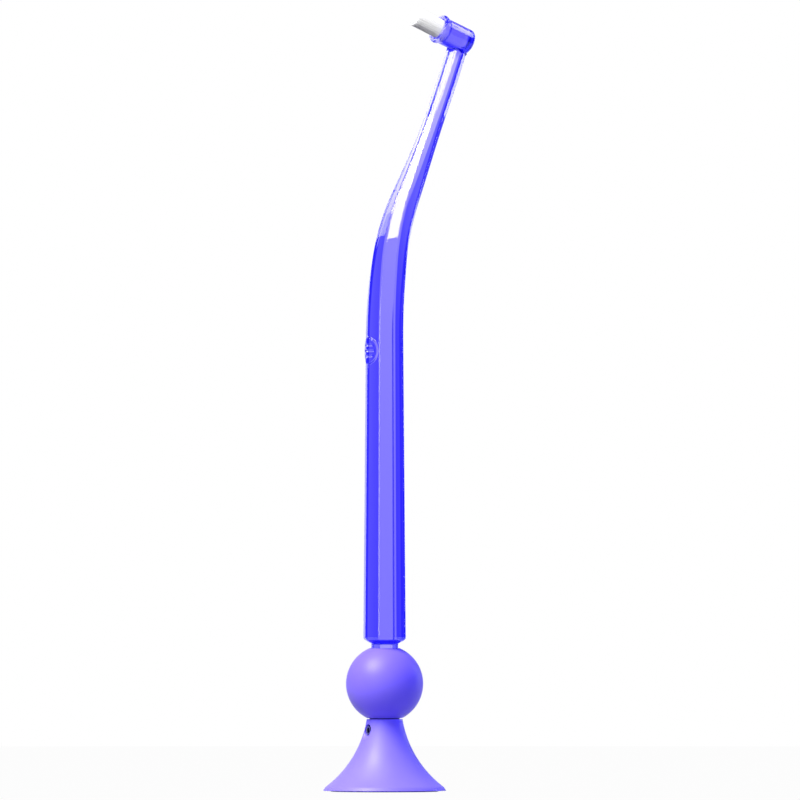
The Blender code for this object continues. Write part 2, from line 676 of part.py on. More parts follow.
def bristle_tuft(parts, cutters, pivot):
    """Tapered strands that grow out of one root disc, domed at their ends."""
    radius = BORE_RADIUS - TUFT_WALL_GAP
    root_top = -BORE_DEPTH + FIT_GAP + ROOT_THICKNESS
    chance = random.Random(BRISTLE_SEED)
    bm = strand_cells(radius)
    cells = list(bm.faces)
    bmesh.ops.translate(bm, verts=bm.verts, vec=(0, 0, root_top))
    sheet = cells + list(bm.edges) + list(bm.verts)
    grown = bmesh.ops.extrude_face_region(bm, geom=sheet, use_keep_orig=True)["geom"]
    low_verts = [item for item in grown if isinstance(item, bmesh.types.BMVert)]
    low_faces = [item for item in grown if isinstance(item, bmesh.types.BMFace)]
    bmesh.ops.translate(bm, verts=low_verts, vec=(0, 0, -ROOT_THICKNESS))
    bmesh.ops.dissolve_faces(bm, faces=low_faces)
    bmesh.ops.recalc_face_normals(bm, faces=bm.faces)
    bmesh.ops.inset_individual(bm, faces=cells, thickness=STRAND_MARGIN, use_even_offset=True)
    strands = bmesh.ops.extrude_discrete_faces(bm, faces=cells)["faces"]
    for strand in strands:
        centre = strand.calc_center_median()
        spread = Vector((centre.x, centre.y, 0.0))
        dome = TUFT_DOME * (spread.length / radius) ** 2
        end = TUFT_LENGTH - dome - STRAND_UNEVENNESS * chance.random()
        for vertex in strand.verts:
            offset = (vertex.co - centre) * STRAND_TAPER
            vertex.co = spread * TUFT_FLARE + offset + Vector((TUFT_LEAN, 0.0, end))
    mesh = bpy.data.meshes.new("bristle_tuft")
    bm.to_mesh(mesh)
    bm.free()
    tuft = add_object("bristle_tuft", mesh, parts)
    mouth, turn = head_frame()
    slot_size = (
        ANCHOR_LENGTH + 4 * FIT_GAP,
        ANCHOR_THICKNESS + 2 * FIT_GAP,
        ANCHOR_HEIGHT + 2 * FIT_GAP,
    )
    slot_centre = (0, 0, -BORE_DEPTH + slot_size[2] / 2)
    slot = make_cutter(block("cut_anchor_slot", slot_size, cutters, slot_centre))
    hang(slot, pivot, mouth, turn)
    add_boolean(tuft, slot, "DIFFERENCE")
    add_material(tuft, (0.9, 0.9, 0.92), 0.5)
    hang(tuft, pivot, mouth, turn)


def tuft_anchor(parts, pivot):
    """Metal plate at the bottom of the bore that the bristles are folded round."""
    mouth, turn = head_frame()
    size = (ANCHOR_LENGTH, ANCHOR_THICKNESS, ANCHOR_HEIGHT)
    centre = (0, 0, -BORE_DEPTH + FIT_GAP + ANCHOR_HEIGHT / 2)
    plate = block("tuft_anchor", size, parts, centre)
    add_material(plate, (0.62, 0.55, 0.38), 0.35, 1.0)
    hang(plate, pivot, mouth, turn)


def build():
    clear_scene()
    parts = new_collection("orthodontic_toothbrush")
    cutters = new_collection("cutters")
    foot = add_pivot("foot_origin", (0, 0, 0), parts)
    ball = add_pivot("ball_pivot", (0, 0, BALL_SEAT), parts, foot)
    brush = add_pivot("brush_seat", (0, 0, SOCKET_FLOOR), parts, ball)
    foot_shell(parts, cutters, foot)
    foot_pad(parts, foot)
    ballast_weight(parts, foot)
    set_screw(parts, cutters, foot)
    thrust_washer(parts, foot)
    swivel_spindle(parts, ball)
    stand_ball(parts, cutters, ball)
    brush_body(parts, cutters, brush)
    bristle_tuft(parts, cutters, brush)
    tuft_anchor(parts, brush)


build()
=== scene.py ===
"""Dresses the single-tuft brush and its swivelling ball stand: surfaces, finishes and studio.

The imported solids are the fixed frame. The clear moulding, the tuft, the ball, the foot, its
pad and its set screw are made here as fine surfaces in the same places. The inner pieces
keep their solids and get a finish. Metres, +Z up.
"""

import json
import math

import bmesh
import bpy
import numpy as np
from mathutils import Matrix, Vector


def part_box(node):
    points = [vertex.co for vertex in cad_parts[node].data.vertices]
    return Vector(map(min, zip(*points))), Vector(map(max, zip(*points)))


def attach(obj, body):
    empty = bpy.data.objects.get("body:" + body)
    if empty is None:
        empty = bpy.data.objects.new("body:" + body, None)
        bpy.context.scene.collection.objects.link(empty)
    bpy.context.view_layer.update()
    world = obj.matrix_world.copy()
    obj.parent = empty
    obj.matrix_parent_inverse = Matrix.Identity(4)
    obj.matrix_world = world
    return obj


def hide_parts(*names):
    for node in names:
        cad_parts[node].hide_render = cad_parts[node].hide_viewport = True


bl_info = {
    "name": "Single-Tuft Brush in a Ball Stand",
    "version": (1, 0, 0),
    "blender": (4, 5, 0),
    "location": "3D View > Sidebar > Brush Stand",
    "description": "Makes the fine surfaces, the finishes and the studio of a clear brush in its stand",
    "category": "Object",
}

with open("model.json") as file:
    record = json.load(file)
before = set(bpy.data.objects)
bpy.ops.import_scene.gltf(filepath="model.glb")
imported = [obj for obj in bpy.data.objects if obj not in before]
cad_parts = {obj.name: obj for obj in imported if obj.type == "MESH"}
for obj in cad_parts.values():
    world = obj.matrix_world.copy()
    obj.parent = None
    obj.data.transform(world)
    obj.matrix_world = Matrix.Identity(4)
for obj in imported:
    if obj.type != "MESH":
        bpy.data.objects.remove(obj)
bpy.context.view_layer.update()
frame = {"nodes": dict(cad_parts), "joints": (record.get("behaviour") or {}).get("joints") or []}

MM = 0.001
BALL_SEAT = frame["joints"][0]["pos_m"][2]
FOOT_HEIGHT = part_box("foot_shell")[1].z
PAD_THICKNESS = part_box("foot_pad")[1].z
PAD_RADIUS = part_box("foot_pad")[1].x
SPIGOT_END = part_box("brush_body")[0].z

# Clearances between pieces
FIT_GAP = 0.3 * MM

# Foot
FOOT_NECK_RADIUS = 5.1 * MM
FLARE_RADIUS = 30.4 * MM
RIM_RADIUS = 17.5 * MM
RIM_SHOULDER_RADIUS = 16.9 * MM
RIM_SHOULDER_HEIGHT = 1.3 * MM
RIM_CLEARANCE = 0.25 * MM
RIM_ROUND = 0.1 * MM
FOOT_WALL = 1.8 * MM
HOLLOW_HEIGHT = 11.0 * MM
BOSS_RADIUS = 4.4 * MM
BOSS_FLOOR = 1.4 * MM
SPINDLE_BORE = 2.9 * MM
SPINDLE_DEPTH = 12.2 * MM
WASHER_RECESS = 4.5 * MM
WASHER_THICKNESS = 0.6 * MM
PAD_EDGE_ROUND = 0.3 * MM
PAD_BEVEL = 0.1 * MM
PAD_RING_DEPTH = 0.12 * MM
PAD_RING_PITCH = 2.4 * MM
PAD_RING_START = 3.0 * MM

# Set screw, an M3 with a dog point
SCREW_HEIGHT = 17.5 * MM
SCREW_RADIUS = 1.45 * MM
SCREW_SINK = 0.35 * MM
SCREW_HOLE_RADIUS = 1.7 * MM
SCREW_TIP = 2.1 * MM
DOG_RADIUS = 0.8 * MM
DOG_LENGTH = 0.7 * MM
HEX_ACROSS_FLATS = 1.5 * MM
HEX_DEPTH = 1.4 * MM
THREAD_PITCH = 0.5 * MM
THREAD_DEPTH = 0.2 * MM
THREAD_RUNOUT = 0.35 * MM
DOG_BEVEL = 0.1 * MM
KEY_LEAD_IN = 0.12 * MM
KEY_CONE_SHARE = 0.35

# Ball and its socket
BALL_RADIUS = 11.0 * MM
BALL_SEAT_RADIUS = 5.0 * MM
SHANK_BORE = 3.3 * MM
SHANK_LENGTH = 6.2 * MM
SOCKET_DEPTH = 11.7 * MM
SEAM_DEGREES = 1.2

# Handle
HANDLE_STANDOFF = 0.45 * MM
SPIGOT_RADIUS = 4.05 * MM
SPIGOT_CHAMFER = 0.5 * MM
SPIGOT_ROOT_ROUND = 0.2 * MM
SHOULDER_CONE = math.radians(27)
SHOULDER_ROUND = 1.15 * MM
HANDLE_RADIUS = 6.3 * MM
HANDLE_TOP_RADIUS = 5.45 * MM
HANDLE_LENGTH = 86.5 * MM

# Bend and neck
LEAD_IN_RADIUS = 160.7 * MM
LEAD_IN_LEAN = math.radians(7.66)
BEND_RADIUS = 70.3 * MM
BEND_LEAN = math.radians(24.43)
BOW_RADIUS = 533.0 * MM
NECK_RUN = 48.2 * MM
SLIM_START = 14.3 * MM
SLIM_LENGTH = 54.6 * MM
TWIST_LENGTH = 78.0 * MM
NECK_TWIST = math.radians(32)
NECK_RADIUS = 2.92 * MM
NECK_FILLET = 1.3 * MM
NECK_FILLET_FLARE = 0.24 * MM

# Oval pad on the handle's front edge
OVAL_DROP = 3.05 * MM
OVAL_HEIGHT = 8.0 * MM
OVAL_WIDTH = 7.2 * MM
OVAL_EDGE = 0.45 * MM
RIB_COUNT = 3
RIB_PITCH = 1.6 * MM
RIB_GROOVE_WIDTH = 0.55 * MM
RIB_REACH = 0.72
RIB_FADE = 6.0

# Head and tuft
HEAD_ANGLE = math.radians(86.4)
HEAD_RADIUS = 3.8 * MM
HEAD_LENGTH = 11.35 * MM
HEAD_SETBACK = 8.05 * MM
HEAD_REAR_ROUND = 1.3 * MM
HEAD_CROWN = 0.2 * MM
BEAD_PROUD = 0.42 * MM
BEAD_ROUND = 1.0 * MM
BEAD_WIDTH = 1.5 * MM
BEAD_STEP = 0.25 * MM
LIP_ROUND = 0.2 * MM
BORE_RADIUS = 3.15 * MM
BORE_DEPTH = 2.7 * MM
TUFT_RADIUS = 2.75 * MM
TUFT_LENGTH = 9.7 * MM
TUFT_DOME = 1.5 * MM
TUFT_LEAN = 0.15 * MM
TUFT_FLARE = 1.02
TUFT_UNEVENNESS = 0.16 * MM
TUFT_STRAY = 0.035 * MM
TUFT_SEED = 11
FILAMENT_ROWS = (0.0, 0.35, 0.7, 0.96, 1.0)
FILAMENT_WIDTHS = (1.0, 1.0, 1.0, 1.0, 0.55)
FILAMENT_CORNERS = 5
ANCHOR_HEIGHT = 1.2 * MM
ANCHOR_THICKNESS = 0.35 * MM
ANCHOR_GAP = 0.05 * MM

# Octagonal section
SIDES = 8
HALF_SIDE = math.pi / SIDES
PAD_CORNER = SIDES // 2
EDGE_FLAT_SHARE = 0.28
EDGE_POINTS = 5
FINE_EDGE_POINTS = 9
SIDE_STEPS = (0.05, 0.5, 0.95)
FINE_SIDE_POINTS = 33

# Rows along the brush and the stand, and columns round the turned pieces
HANDLE_ROWS = 24
OVAL_ROWS = 91
CURVE_ROWS = 120
BLEND_ROWS = 9
FILLET_ROWS = 13
BALL_ROWS = 110
FLARE_ROWS = 70
SCREW_ROWS = 72
CUP_COLUMNS = 112
BALL_COLUMNS = 160
FOOT_COLUMNS = 192
PAD_COLUMNS = 160
HOLE_COLUMNS = 64
SCREW_COLUMNS = 60

# Places that follow from the sizes above
BALL_CENTRE = BALL_SEAT + math.sqrt(BALL_RADIUS**2 - BALL_SEAT_RADIUS**2)
BALL_TOP = BALL_CENTRE + BALL_RADIUS
HANDLE_BOTTOM = BALL_TOP + HANDLE_STANDOFF
STRAIGHT_END = HANDLE_BOTTOM + HANDLE_LENGTH
BEND_RUN = LEAD_IN_RADIUS * LEAD_IN_LEAN + BEND_RADIUS * (BEND_LEAN - LEAD_IN_LEAN)
NECK_LENGTH = BEND_RUN + NECK_RUN
SCREW_PLACE = (0.0, 0.0, SCREW_HEIGHT)

# The photograph's view: camera azimuth, frame and what it is centred on
VIEW_AZIMUTH = math.radians(-30.4)
CAMERA_DISTANCE = 7.6
CAMERA_LENS = 1200.0
SENSOR_WIDTH = 36.0
AIM_RIGHT = 4.39 * MM
AIM_HEIGHT = 111.6 * MM
VIEW_RIGHT = Vector((math.cos(VIEW_AZIMUTH), math.sin(VIEW_AZIMUTH), 0.0))
VIEW_BACK = Vector((math.sin(VIEW_AZIMUTH), -math.cos(VIEW_AZIMUTH), 0.0))
VIEW_UP = Vector((0.0, 0.0, 1.0))

# Sines of the angles off the view at which the studio's coloured sides begin and are full
SIDES_START = 0.2
SIDES_FULL = 0.53

# Studio: what the lamps aim at, how far the strips stand off, and the light's bounces
AIM_MIDDLE = Vector((0.0, 0.0, 0.11))
AIM_NECK = Vector((0.03, 0.0, 0.19))
AIM_STAND = Vector((0.0, 0.0, 0.03))
STRIP_DISTANCE = 1.2
BOUNCES = {"glossy": 24, "diffuse": 8, "transmission": 24, "max": 32}
FLOOR_MATTE = (0.12, 0.12, 0.14, 1.0)
WHITE = (1.0, 1.0, 1.0, 1.0)

# Outputs of the Light Path node: camera, glossy and transmission rays
SHOWN_RAYS = (0, 3, 6)

# Finishes: where most values of a noise lie, how far from the head's middle its painted shade
# fades, and how high over the cup's mouth the painted light on the tuft's root does
NOISE_RANGE = (0.3, 0.7)
HEAD_PAINTED_SHADE_FADE = (5.0 * MM, 7.5 * MM)
ROOT_PAINTED_LIGHT_FADE = (-0.4 * MM, 0.2 * MM)
METAL = {"Metallic": 1.0}

# How far a cutter stands out of the skin that it cuts
CUTTER_REACH = 2.0 * MM

# Below which distance points are one, and up to which angle faces are shaded as one
MERGE_DISTANCE = 0.0005 * MM
SMOOTH_ANGLE = math.radians(28)


def amount(name, description, default, low, high, **more):
    """A number that the panel shows, between two limits."""
    return bpy.props.FloatProperty(
        name=name, description=description, default=default, min=low, max=high, **more
    )


def size(name, description, default):
    """A length that the panel shows in the scene's units."""
    return amount(name, description, default, 0.0, 0.1, unit="LENGTH", precision=5)


def share(name, description, default, high=1.0):
    return amount(name, description, default, 0.0, high, subtype="FACTOR")


def colour(name, description, default):
    return bpy.props.FloatVectorProperty(
        name=name, description=description, default=default, min=0.0, max=1.0, size=3,
        subtype="COLOR",
    )


class BrushSizes(bpy.types.PropertyGroup):
    """Sizes of the brush that can be changed without touching its solids."""

    edge_round: size("Edge Round", "Radius of the octagonal handle's long edges", 0.6 * MM)
    oval_proud: size("Oval Height", "How far the oval pad stands off the handle", 0.4 * MM)
    rib_depth: size("Rib Depth", "Depth of the grooves between the oval's ribs", 0.22 * MM)
    filament_pitch: size("Filament Pitch", "Distance between neighbouring filaments", 0.15 * MM)
    filament_radius: size("Filament Radius", "Half the thickness of a filament", 0.07 * MM)


class StandSizes(bpy.types.PropertyGroup):
    """Small edges of the stand."""

    seam_round: size("Seam Round", "Rounding where ball and foot meet", 0.1 * MM)
    socket_lead_in: size("Socket Lead-in", "Width of the bevel round the socket's mouth", 0.15 * MM)
    hole_bevel: size("Hole Bevel", "Width of the bevel round the screw's hole", 0.12 * MM)


class BrushColours(bpy.types.PropertyGroup):
    """Colours and gloss of every finish."""

    clear_absorb: colour("Clear Absorption", "Light that the clear plastic lets by", (0.1, 0.0, 1.0))
    # Painted shade: a deeper tint of the moulding about the head, for the darker look of the cup
    clear_head_painted_shade: colour("Clear Head", "Tint of the clear plastic about the head", (0.46, 0.42, 1.0))
    clear_density: amount("Clear Density", "Absorption per metre of plastic", 156.0, 0.0, 2000.0)
    clear_index: amount("Clear Index", "Refractive index of the clear plastic", 1.49, 1.0, 2.0)
    bristle: colour("Bristle", "White nylon filaments", (0.97, 0.97, 0.97))
    # Painted light: the violet that the filaments' roots take for light through the cup's wall
    bristle_root_painted_light: colour("Bristle Root", "Filaments lit through the cup's wall", (0.58, 0.55, 1.0))
    ball: colour("Ball", "Soft violet plastic of the ball", (0.32, 0.225, 1.0))
    foot: colour("Foot", "Soft violet plastic of the foot", (0.36, 0.275, 1.0))
    matte_roughness: share("Matte Roughness", "Roughness of ball and foot", 0.46)
    pad: colour("Foot Pad", "Rubber under the foot", (0.09, 0.06, 0.6))
    steel: colour("Steel", "Turned spindle", (0.62, 0.62, 0.65))
    screw: colour("Screw", "Dark plated set screw", (0.24, 0.24, 0.36))
    brass: colour("Brass", "Anchor plate of the tuft", (0.7, 0.6, 0.36))
    iron: colour("Iron", "Ballast in the foot", (0.22, 0.22, 0.23))
    washer: colour("Washer", "Slip washer under the ball", (0.02, 0.015, 0.2))


class StudioLevels(bpy.types.PropertyGroup):
    """Radiance of the soft boxes, and what the surround and the floor show."""

    key_strips: share("Key Strips", "Radiance of the two boxes that the neck mirrors", 20.0, 50.0)
    sky_box: share("Sky Box", "Radiance of the soft box above and in front", 15.5, 50.0)
    edge_strip: share("Edge Strip", "Radiance of the tall box that draws the long edges", 5.0, 50.0)
    back_strips: share("Back Strips", "Radiance of the two boxes behind at the left", 5.0, 50.0)
    cup_strip: share("Cup Strip", "Radiance of the box that the cup's upper side mirrors", 7.0, 50.0)
    rim_strip: share("Rim Strip", "Radiance of the tall box behind at the right", 5.0, 50.0)
    tuft_box: share("Tuft Box", "Radiance of the soft box over the tuft's near side", 9.0, 50.0)
    stand_fill: share("Stand Fill", "Radiance of the violet boxes round the stand", 3.2, 50.0)
    fill: colour("Fill", "Colour of the boxes that fill the stand's shade", (0.05, 0.05, 1.0))
    ambient: share("Ambient", "Level of the world on matte surfaces", 0.1, 2.0)
    sides: colour("Sides", "What gloss and clear plastic meet at both sides", (0.1, 0.09, 1.0))
    floor_share: share("Floor Share", "How much of the floor's look is plain white", 0.975)


def arc(centre, radius, start, end, count):
    """Points (radius, height) on a circle about centre, evenly spaced between two angles."""
    angle = np.radians(np.linspace(start, end, count))
    return np.stack((centre[0] + radius * np.cos(angle), centre[1] + radius * np.sin(angle)), axis=1)


def line(start, end, count):
    """Points evenly spaced on a straight line between two (radius, height) points."""
    return np.linspace(start, end, count)


def smooth_step(value):
    """Rises from 0 to 1 as 3t squared less 2t cubed, and stays flat outside."""
    value = np.clip(value, 0.0, 1.0)
    return value * value * (3.0 - 2.0 * value)


def angles_round(columns):
    """Evenly spaced angles of a whole turn."""
    return 2.0 * np.pi * np.arange(columns) / columns


def about_axis(radius, angle, height):
    """Points (r cos a, r sin a, h) of a surface round Z."""
    return np.stack((radius * np.cos(angle), radius * np.sin(angle), height + 0.0 * angle), axis=-1)


def turned(profile, columns):
    """Surface of a profile of points (radius, height) turned about Z."""
    return about_axis(profile[:, :1], angles_round(columns), profile[:, 1:])


def with_poles(points):
    """The surface with its first and last row drawn together at their middles."""
    first = np.broadcast_to(points[0].mean(axis=0), points[0].shape)
    last = np.broadcast_to(points[-1].mean(axis=0), points[-1].shape)
    return np.concatenate((first[None], points, last[None]))


def moved(points, turn, place):
    """Points turned by a 3x3 matrix and carried to a place."""
    return points @ np.array(turn).T + np.array(place)


def added(name, data):
    """A new object of the scene."""
    obj = bpy.data.objects.new(name, data)
    bpy.context.scene.collection.objects.link(obj)
    return obj


def mesh_of(name, points, faces):
    mesh = bpy.data.meshes.new(name)
    mesh.from_pydata(points.reshape(-1, 3).tolist(), [], faces)
    return mesh


def wrapped_faces(low, high):
    """Four-sided faces between rows of point numbers, the last column joined to the first."""
    quads = np.stack((low, np.roll(low, -1, axis=-1), np.roll(high, -1, axis=-1), high), axis=-1)
    return quads.reshape(-1, 4).tolist()


def solid(name, points):
    """A closed object from a grid of points whose columns wrap."""
    rows, columns = points.shape[:2]
    index = np.arange(rows * columns).reshape(rows, columns)
    mesh = mesh_of(name, points, wrapped_faces(index[:-1], index[1:]))
    outward(mesh)
    return added(name, mesh)


def outward(mesh):
    """Merge what lies together, such as poles, and point every face out."""
    bm = bmesh.new()
    bm.from_mesh(mesh)
    bmesh.ops.remove_doubles(bm, verts=bm.verts, dist=MERGE_DISTANCE)
    bmesh.ops.recalc_face_normals(bm, faces=bm.faces)
    bm.to_mesh(mesh)
    bm.free()


def combine(obj, other, operation):
    """Join the other closed object to this one, or cut it out, and remove it."""
    modifier = obj.modifiers.new(operation.lower(), "BOOLEAN")
    modifier.operation = operation
    modifier.solver = "EXACT"
    modifier.object = other
    graph = bpy.context.evaluated_depsgraph_get()
    mesh = bpy.data.meshes.new_from_object(obj.evaluated_get(graph))
    if not mesh.polygons:
        raise RuntimeError(f"{obj.name} and {other.name} left nothing when combined")
    obj.modifiers.clear()
    obj.data = mesh
    bpy.data.objects.remove(other)


def refinish(mesh, material):
    """Give a mesh this finish alone."""
    mesh.materials.clear()
    mesh.materials.append(material)


def dress(obj, material, body, slot, *stands_for):
    """Shade a finished piece, give it its finish and let it ride on its body."""
    obj.data.shade_smooth()
    obj.data.set_sharp_from_angle(angle=SMOOTH_ANGLE)
    refinish(obj.data, material)
    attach(obj, body)
    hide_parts(*stands_for)


class Wire:
    """A shader socket in sums, each of which becomes a Math node."""

    def __init__(self, finish, socket):
        self.finish = finish
        self.socket = socket

    def maths(self, operation, first, second):
        return self.finish.node("ShaderNodeMath", {"operation": operation}, {0: first, 1: second})

    def __add__(self, other):
        return self.maths("ADD", self, other)

    def __rsub__(self, other):
        return self.maths("SUBTRACT", other, self)

    def __mul__(self, other):
        return self.maths("MULTIPLY", self, other)

    __radd__ = __add__
    __rmul__ = __mul__


class Finish:
    """A tree of shader nodes, wired from values and other nodes' sockets."""

    def __init__(self, tree):
        self.tree = tree
        tree.nodes.clear()

    @classmethod
    def named(cls, name):
        """A new material and its tree."""
        material = bpy.data.materials.new(name)
        material.use_nodes = True
        finish = cls(material.node_tree)
        finish.material = material
        return finish

    def node(self, kind, settings=None, sockets=None, output=0):
        """Add a node: its settings first, then the values or links of its sockets."""
        node = self.tree.nodes.new(kind)
        for name, value in (settings or {}).items():
            setattr(node, name, value)
        for name, value in (sockets or {}).items():
            if isinstance(value, Wire):
                self.tree.links.new(value.socket, node.inputs[name])
            else:
                node.inputs[name].default_value = value
        return Wire(self, node.outputs[output]) if node.outputs else None

    def place(self, scale=(1.0, 1.0, 1.0), turn=(0.0, 0.0, 0.0), centre=(0.0, 0.0, 0.0)):
        """Object coordinates about a centre, turned and then stretched per axis."""
        spot = self.node("ShaderNodeTexCoord", output=3)
        about = {"Vector": spot, "Location": centre, "Rotation": turn}
        centred = self.node("ShaderNodeMapping", {"vector_type": "TEXTURE"}, about)
        return self.node("ShaderNodeMapping", {}, {"Vector": centred, "Scale": scale})

    def noise(self, scale, detail=2.0, vector=None):
        """Cloudy values about a half, with this many cells to the metre."""
        sockets = {"Vector": vector or self.place(), "Scale": scale, "Detail": detail}
        return self.node("ShaderNodeTexNoise", {}, sockets)

    def ramp(self, value, low, high, start=0.0, end=1.0):
        """The value carried smoothly from low..high to start..end."""
        sockets = {"Value": value, 1: low, 2: high, 3: start, 4: end}
        return self.node("ShaderNodeMapRange", {"interpolation_type": "SMOOTHSTEP"}, sockets)

    def mix(self, factor, first, second):
        """A colour between two colours."""
        sockets = {0: factor, 6: first, 7: second}
        return self.node("ShaderNodeMix", {"data_type": "RGBA"}, sockets, output=2)

    def bump(self, height, distance, strength=1.0):
        sockets = {"Height": height, "Distance": distance, "Strength": strength}
        return self.node("ShaderNodeBump", {}, sockets)

    def coat(self, rgb, shade, tones, gloss, roughness, normal, more):
        """Close the tree: one value picks the tone between two, another the roughness."""
        sockets = {
            "Base Color": self.mix(shade, tinted(rgb, tones[0]), tinted(rgb, tones[1])),
            "Roughness": self.ramp(gloss, *NOISE_RANGE, *roughness),
            "Normal": normal,
        }
        return self.principled({**sockets, **more})

    def principled(self, sockets, volume=None):
        """Close the tree with a Principled surface, and a volume where one is given."""
        surface = self.node("ShaderNodeBsdfPrincipled", {}, sockets)
        ends = {"Surface": surface}
        if volume is not None:
            ends["Volume"] = volume
        self.node("ShaderNodeOutputMaterial", {}, ends)
        return self.material


def tinted(rgb, factor=1.0):
    """A colour with its alpha, made darker or lighter by a factor."""
    return tuple(min(1.0, channel * factor) for channel in rgb) + (1.0,)


def clear_plastic(colours, head):
    """Polished clear plastic that absorbs red and green, with painted shade about the head.

    It has faint flow lines and haze. The painted shade, a deeper tint for the darker look that
    the cup's shape gives the head, fades out with the distance from the middle of the head.
    """
    finish = Finish.named("clear_violet_plastic")
    flow = finish.noise(1.0, 1.0, finish.place(scale=(260.0, 260.0, 38.0)))
    haze = finish.noise(900.0, 3.0)
    absorb = {"Color": tinted(colours.clear_absorb), "Density": colours.clear_density}
    volume = finish.node("ShaderNodeVolumeAbsorption", {}, absorb)
    ends = {0: finish.place(), 1: head}
    distance = finish.node("ShaderNodeVectorMath", {"operation": "DISTANCE"}, ends, output=1)
    # Painted shade: near the head's middle the colour darkens to the head's tint
    away = finish.ramp(distance, *HEAD_PAINTED_SHADE_FADE)
    hazy = finish.mix(haze, WHITE, (0.97, 0.97, 1.0, 1.0))
    sockets = {
        "Base Color": finish.mix(away, tinted(colours.clear_head_painted_shade), hazy),
        "Roughness": finish.ramp(haze, 0.45, 0.75, 0.0, 0.03),
        "IOR": colours.clear_index,
        "Transmission Weight": 1.0,
        "Normal": finish.bump(flow, 0.02 * MM),
    }
    return finish.principled(sockets, volume)


def bristle_nylon(colours, turn, mouth):
    """White filaments with streaks along the tuft that differ a little in shade.

    Inside the cup they get painted light: a violet tint for the light through the cup's wall.
    """
    finish = Finish.named("bristle_nylon")
    streaks = finish.noise(1.0, 2.0, finish.place(scale=(3600.0, 3600.0, 90.0), turn=turn))
    shade = finish.ramp(streaks, 0.35, 0.65)
    white = finish.mix(shade, tinted(colours.bristle, 0.86), tinted(colours.bristle, 1.02))
    # Painted light: below the cup's mouth the filaments take the violet of light through its wall
    spot = finish.place(turn=turn, centre=mouth)
    height = finish.node("ShaderNodeSeparateXYZ", {}, {0: spot}, output=2)
    outside = finish.ramp(height, *ROOT_PAINTED_LIGHT_FADE)
    sockets = {
        "Base Color": finish.mix(outside, tinted(colours.bristle_root_painted_light), white),
        "Roughness": finish.ramp(streaks, *NOISE_RANGE, 0.4, 0.55),
        "Specular IOR Level": 0.2,
        "Subsurface Weight": 0.3,
        "Subsurface Radius": (1.0, 1.0, 1.0),
        "Subsurface Scale": 0.4 * MM,
    }
    return finish.principled(sockets)


def matte_plastic(name, rgb, roughness):
    """Soft-touch plastic: a very fine grain and a faint cloud of lighter and darker tone."""
    finish = Finish.named(name)
    normal = finish.bump(finish.noise(6500.0), 0.012 * MM, 0.5)
    cloud = finish.noise(140.0, 3.0)
    gloss = (roughness - 0.03, roughness + 0.03)
    return finish.coat(rgb, cloud, (0.94, 1.06), cloud, gloss, normal, {"Specular IOR Level": 0.55})


def turned_metal(name, rgb, roughness, centre=(0.0, 0.0, 0.0), turn=(0.0, 0.0, 0.0)):
    """Metal from the lathe: fine rings about its axis, and a little tarnish."""
    finish = Finish.named(name)
    rings = finish.noise(1.0, 3.0, finish.place((60.0, 60.0, 9000.0), turn, centre))
    tarnish = finish.noise(420.0, 3.0, finish.place(centre=centre, turn=turn))
    gloss = (roughness - 0.07, roughness + 0.07)
    return finish.coat(rgb, tarnish, (0.8, 1.15), rings, gloss, finish.bump(rings, 0.01 * MM), METAL)


def cast_metal(name, rgb):
    """Cast ballast: grainy skin with darker pits."""
    finish = Finish.named(name)
    grain = finish.noise(1800.0, 4.0)
    pits = finish.ramp(grain, 0.3, 0.45)
    return finish.coat(rgb, pits, (0.55, 1.1), grain, (0.42, 0.65), finish.bump(grain, 0.06 * MM), METAL)


def grained(name, rgb, cells, tones, gloss, depth):
    """A finish whose tone, gloss and height all follow one grain."""
    finish = Finish.named(name)
    grain = finish.noise(cells)
    return finish.coat(rgb, grain, tones, grain, gloss, finish.bump(grain, depth), {})


def slip_plastic(name, rgb):
    """Waxy dark plastic of the washer, faintly scored where the ball turns on it."""
    return grained(name, rgb, 700.0, (0.92, 1.04), (0.3, 0.45), 0.01 * MM)


def pad_rubber(name, rgb):
    """Soft matte rubber with a fine tooth."""
    return grained(name, rgb, 3200.0, (0.85, 1.1), (0.78, 0.92), 0.03 * MM)


def centre_line(run):
    """Place x and z and the lean of the brush's middle, at runs past the straight handle.

    Arcs follow one another. On each, the turn is the run on it over its radius: x grows by
    the radius times the fall in the lean's cosine, and z by the radius times the rise in its
    sine. Negative runs lie straight below.
    """
    run = np.asarray(run, float)
    x, lean = np.zeros_like(run), np.zeros_like(run)
    z = STRAIGHT_END + np.minimum(run, 0.0)
    left = run.copy()
    lead_in = LEAD_IN_RADIUS * LEAD_IN_LEAN
    bend = BEND_RADIUS * (BEND_LEAN - LEAD_IN_LEAN)
    for radius, length in ((LEAD_IN_RADIUS, lead_in), (BEND_RADIUS, bend), (-BOW_RADIUS, np.inf)):
        on_arc = np.clip(left, 0.0, length)
        turn = on_arc / radius
        x = x + radius * (np.cos(lean) - np.cos(lean + turn))
        z = z + radius * (np.sin(lean + turn) - np.sin(lean))
        lean = lean + turn
        left = left - on_arc
    return x, z, lean


def handle_radius(run):
    """Reach of the octagon's corners: an even taper, then one smooth step to the neck."""
    along = np.minimum((run + HANDLE_LENGTH) / (SLIM_START + HANDLE_LENGTH), 1.0)
    taper = HANDLE_RADIUS + (HANDLE_TOP_RADIUS - HANDLE_RADIUS) * along
    return taper + (NECK_RADIUS - taper) * smooth_step((run - SLIM_START) / SLIM_LENGTH)


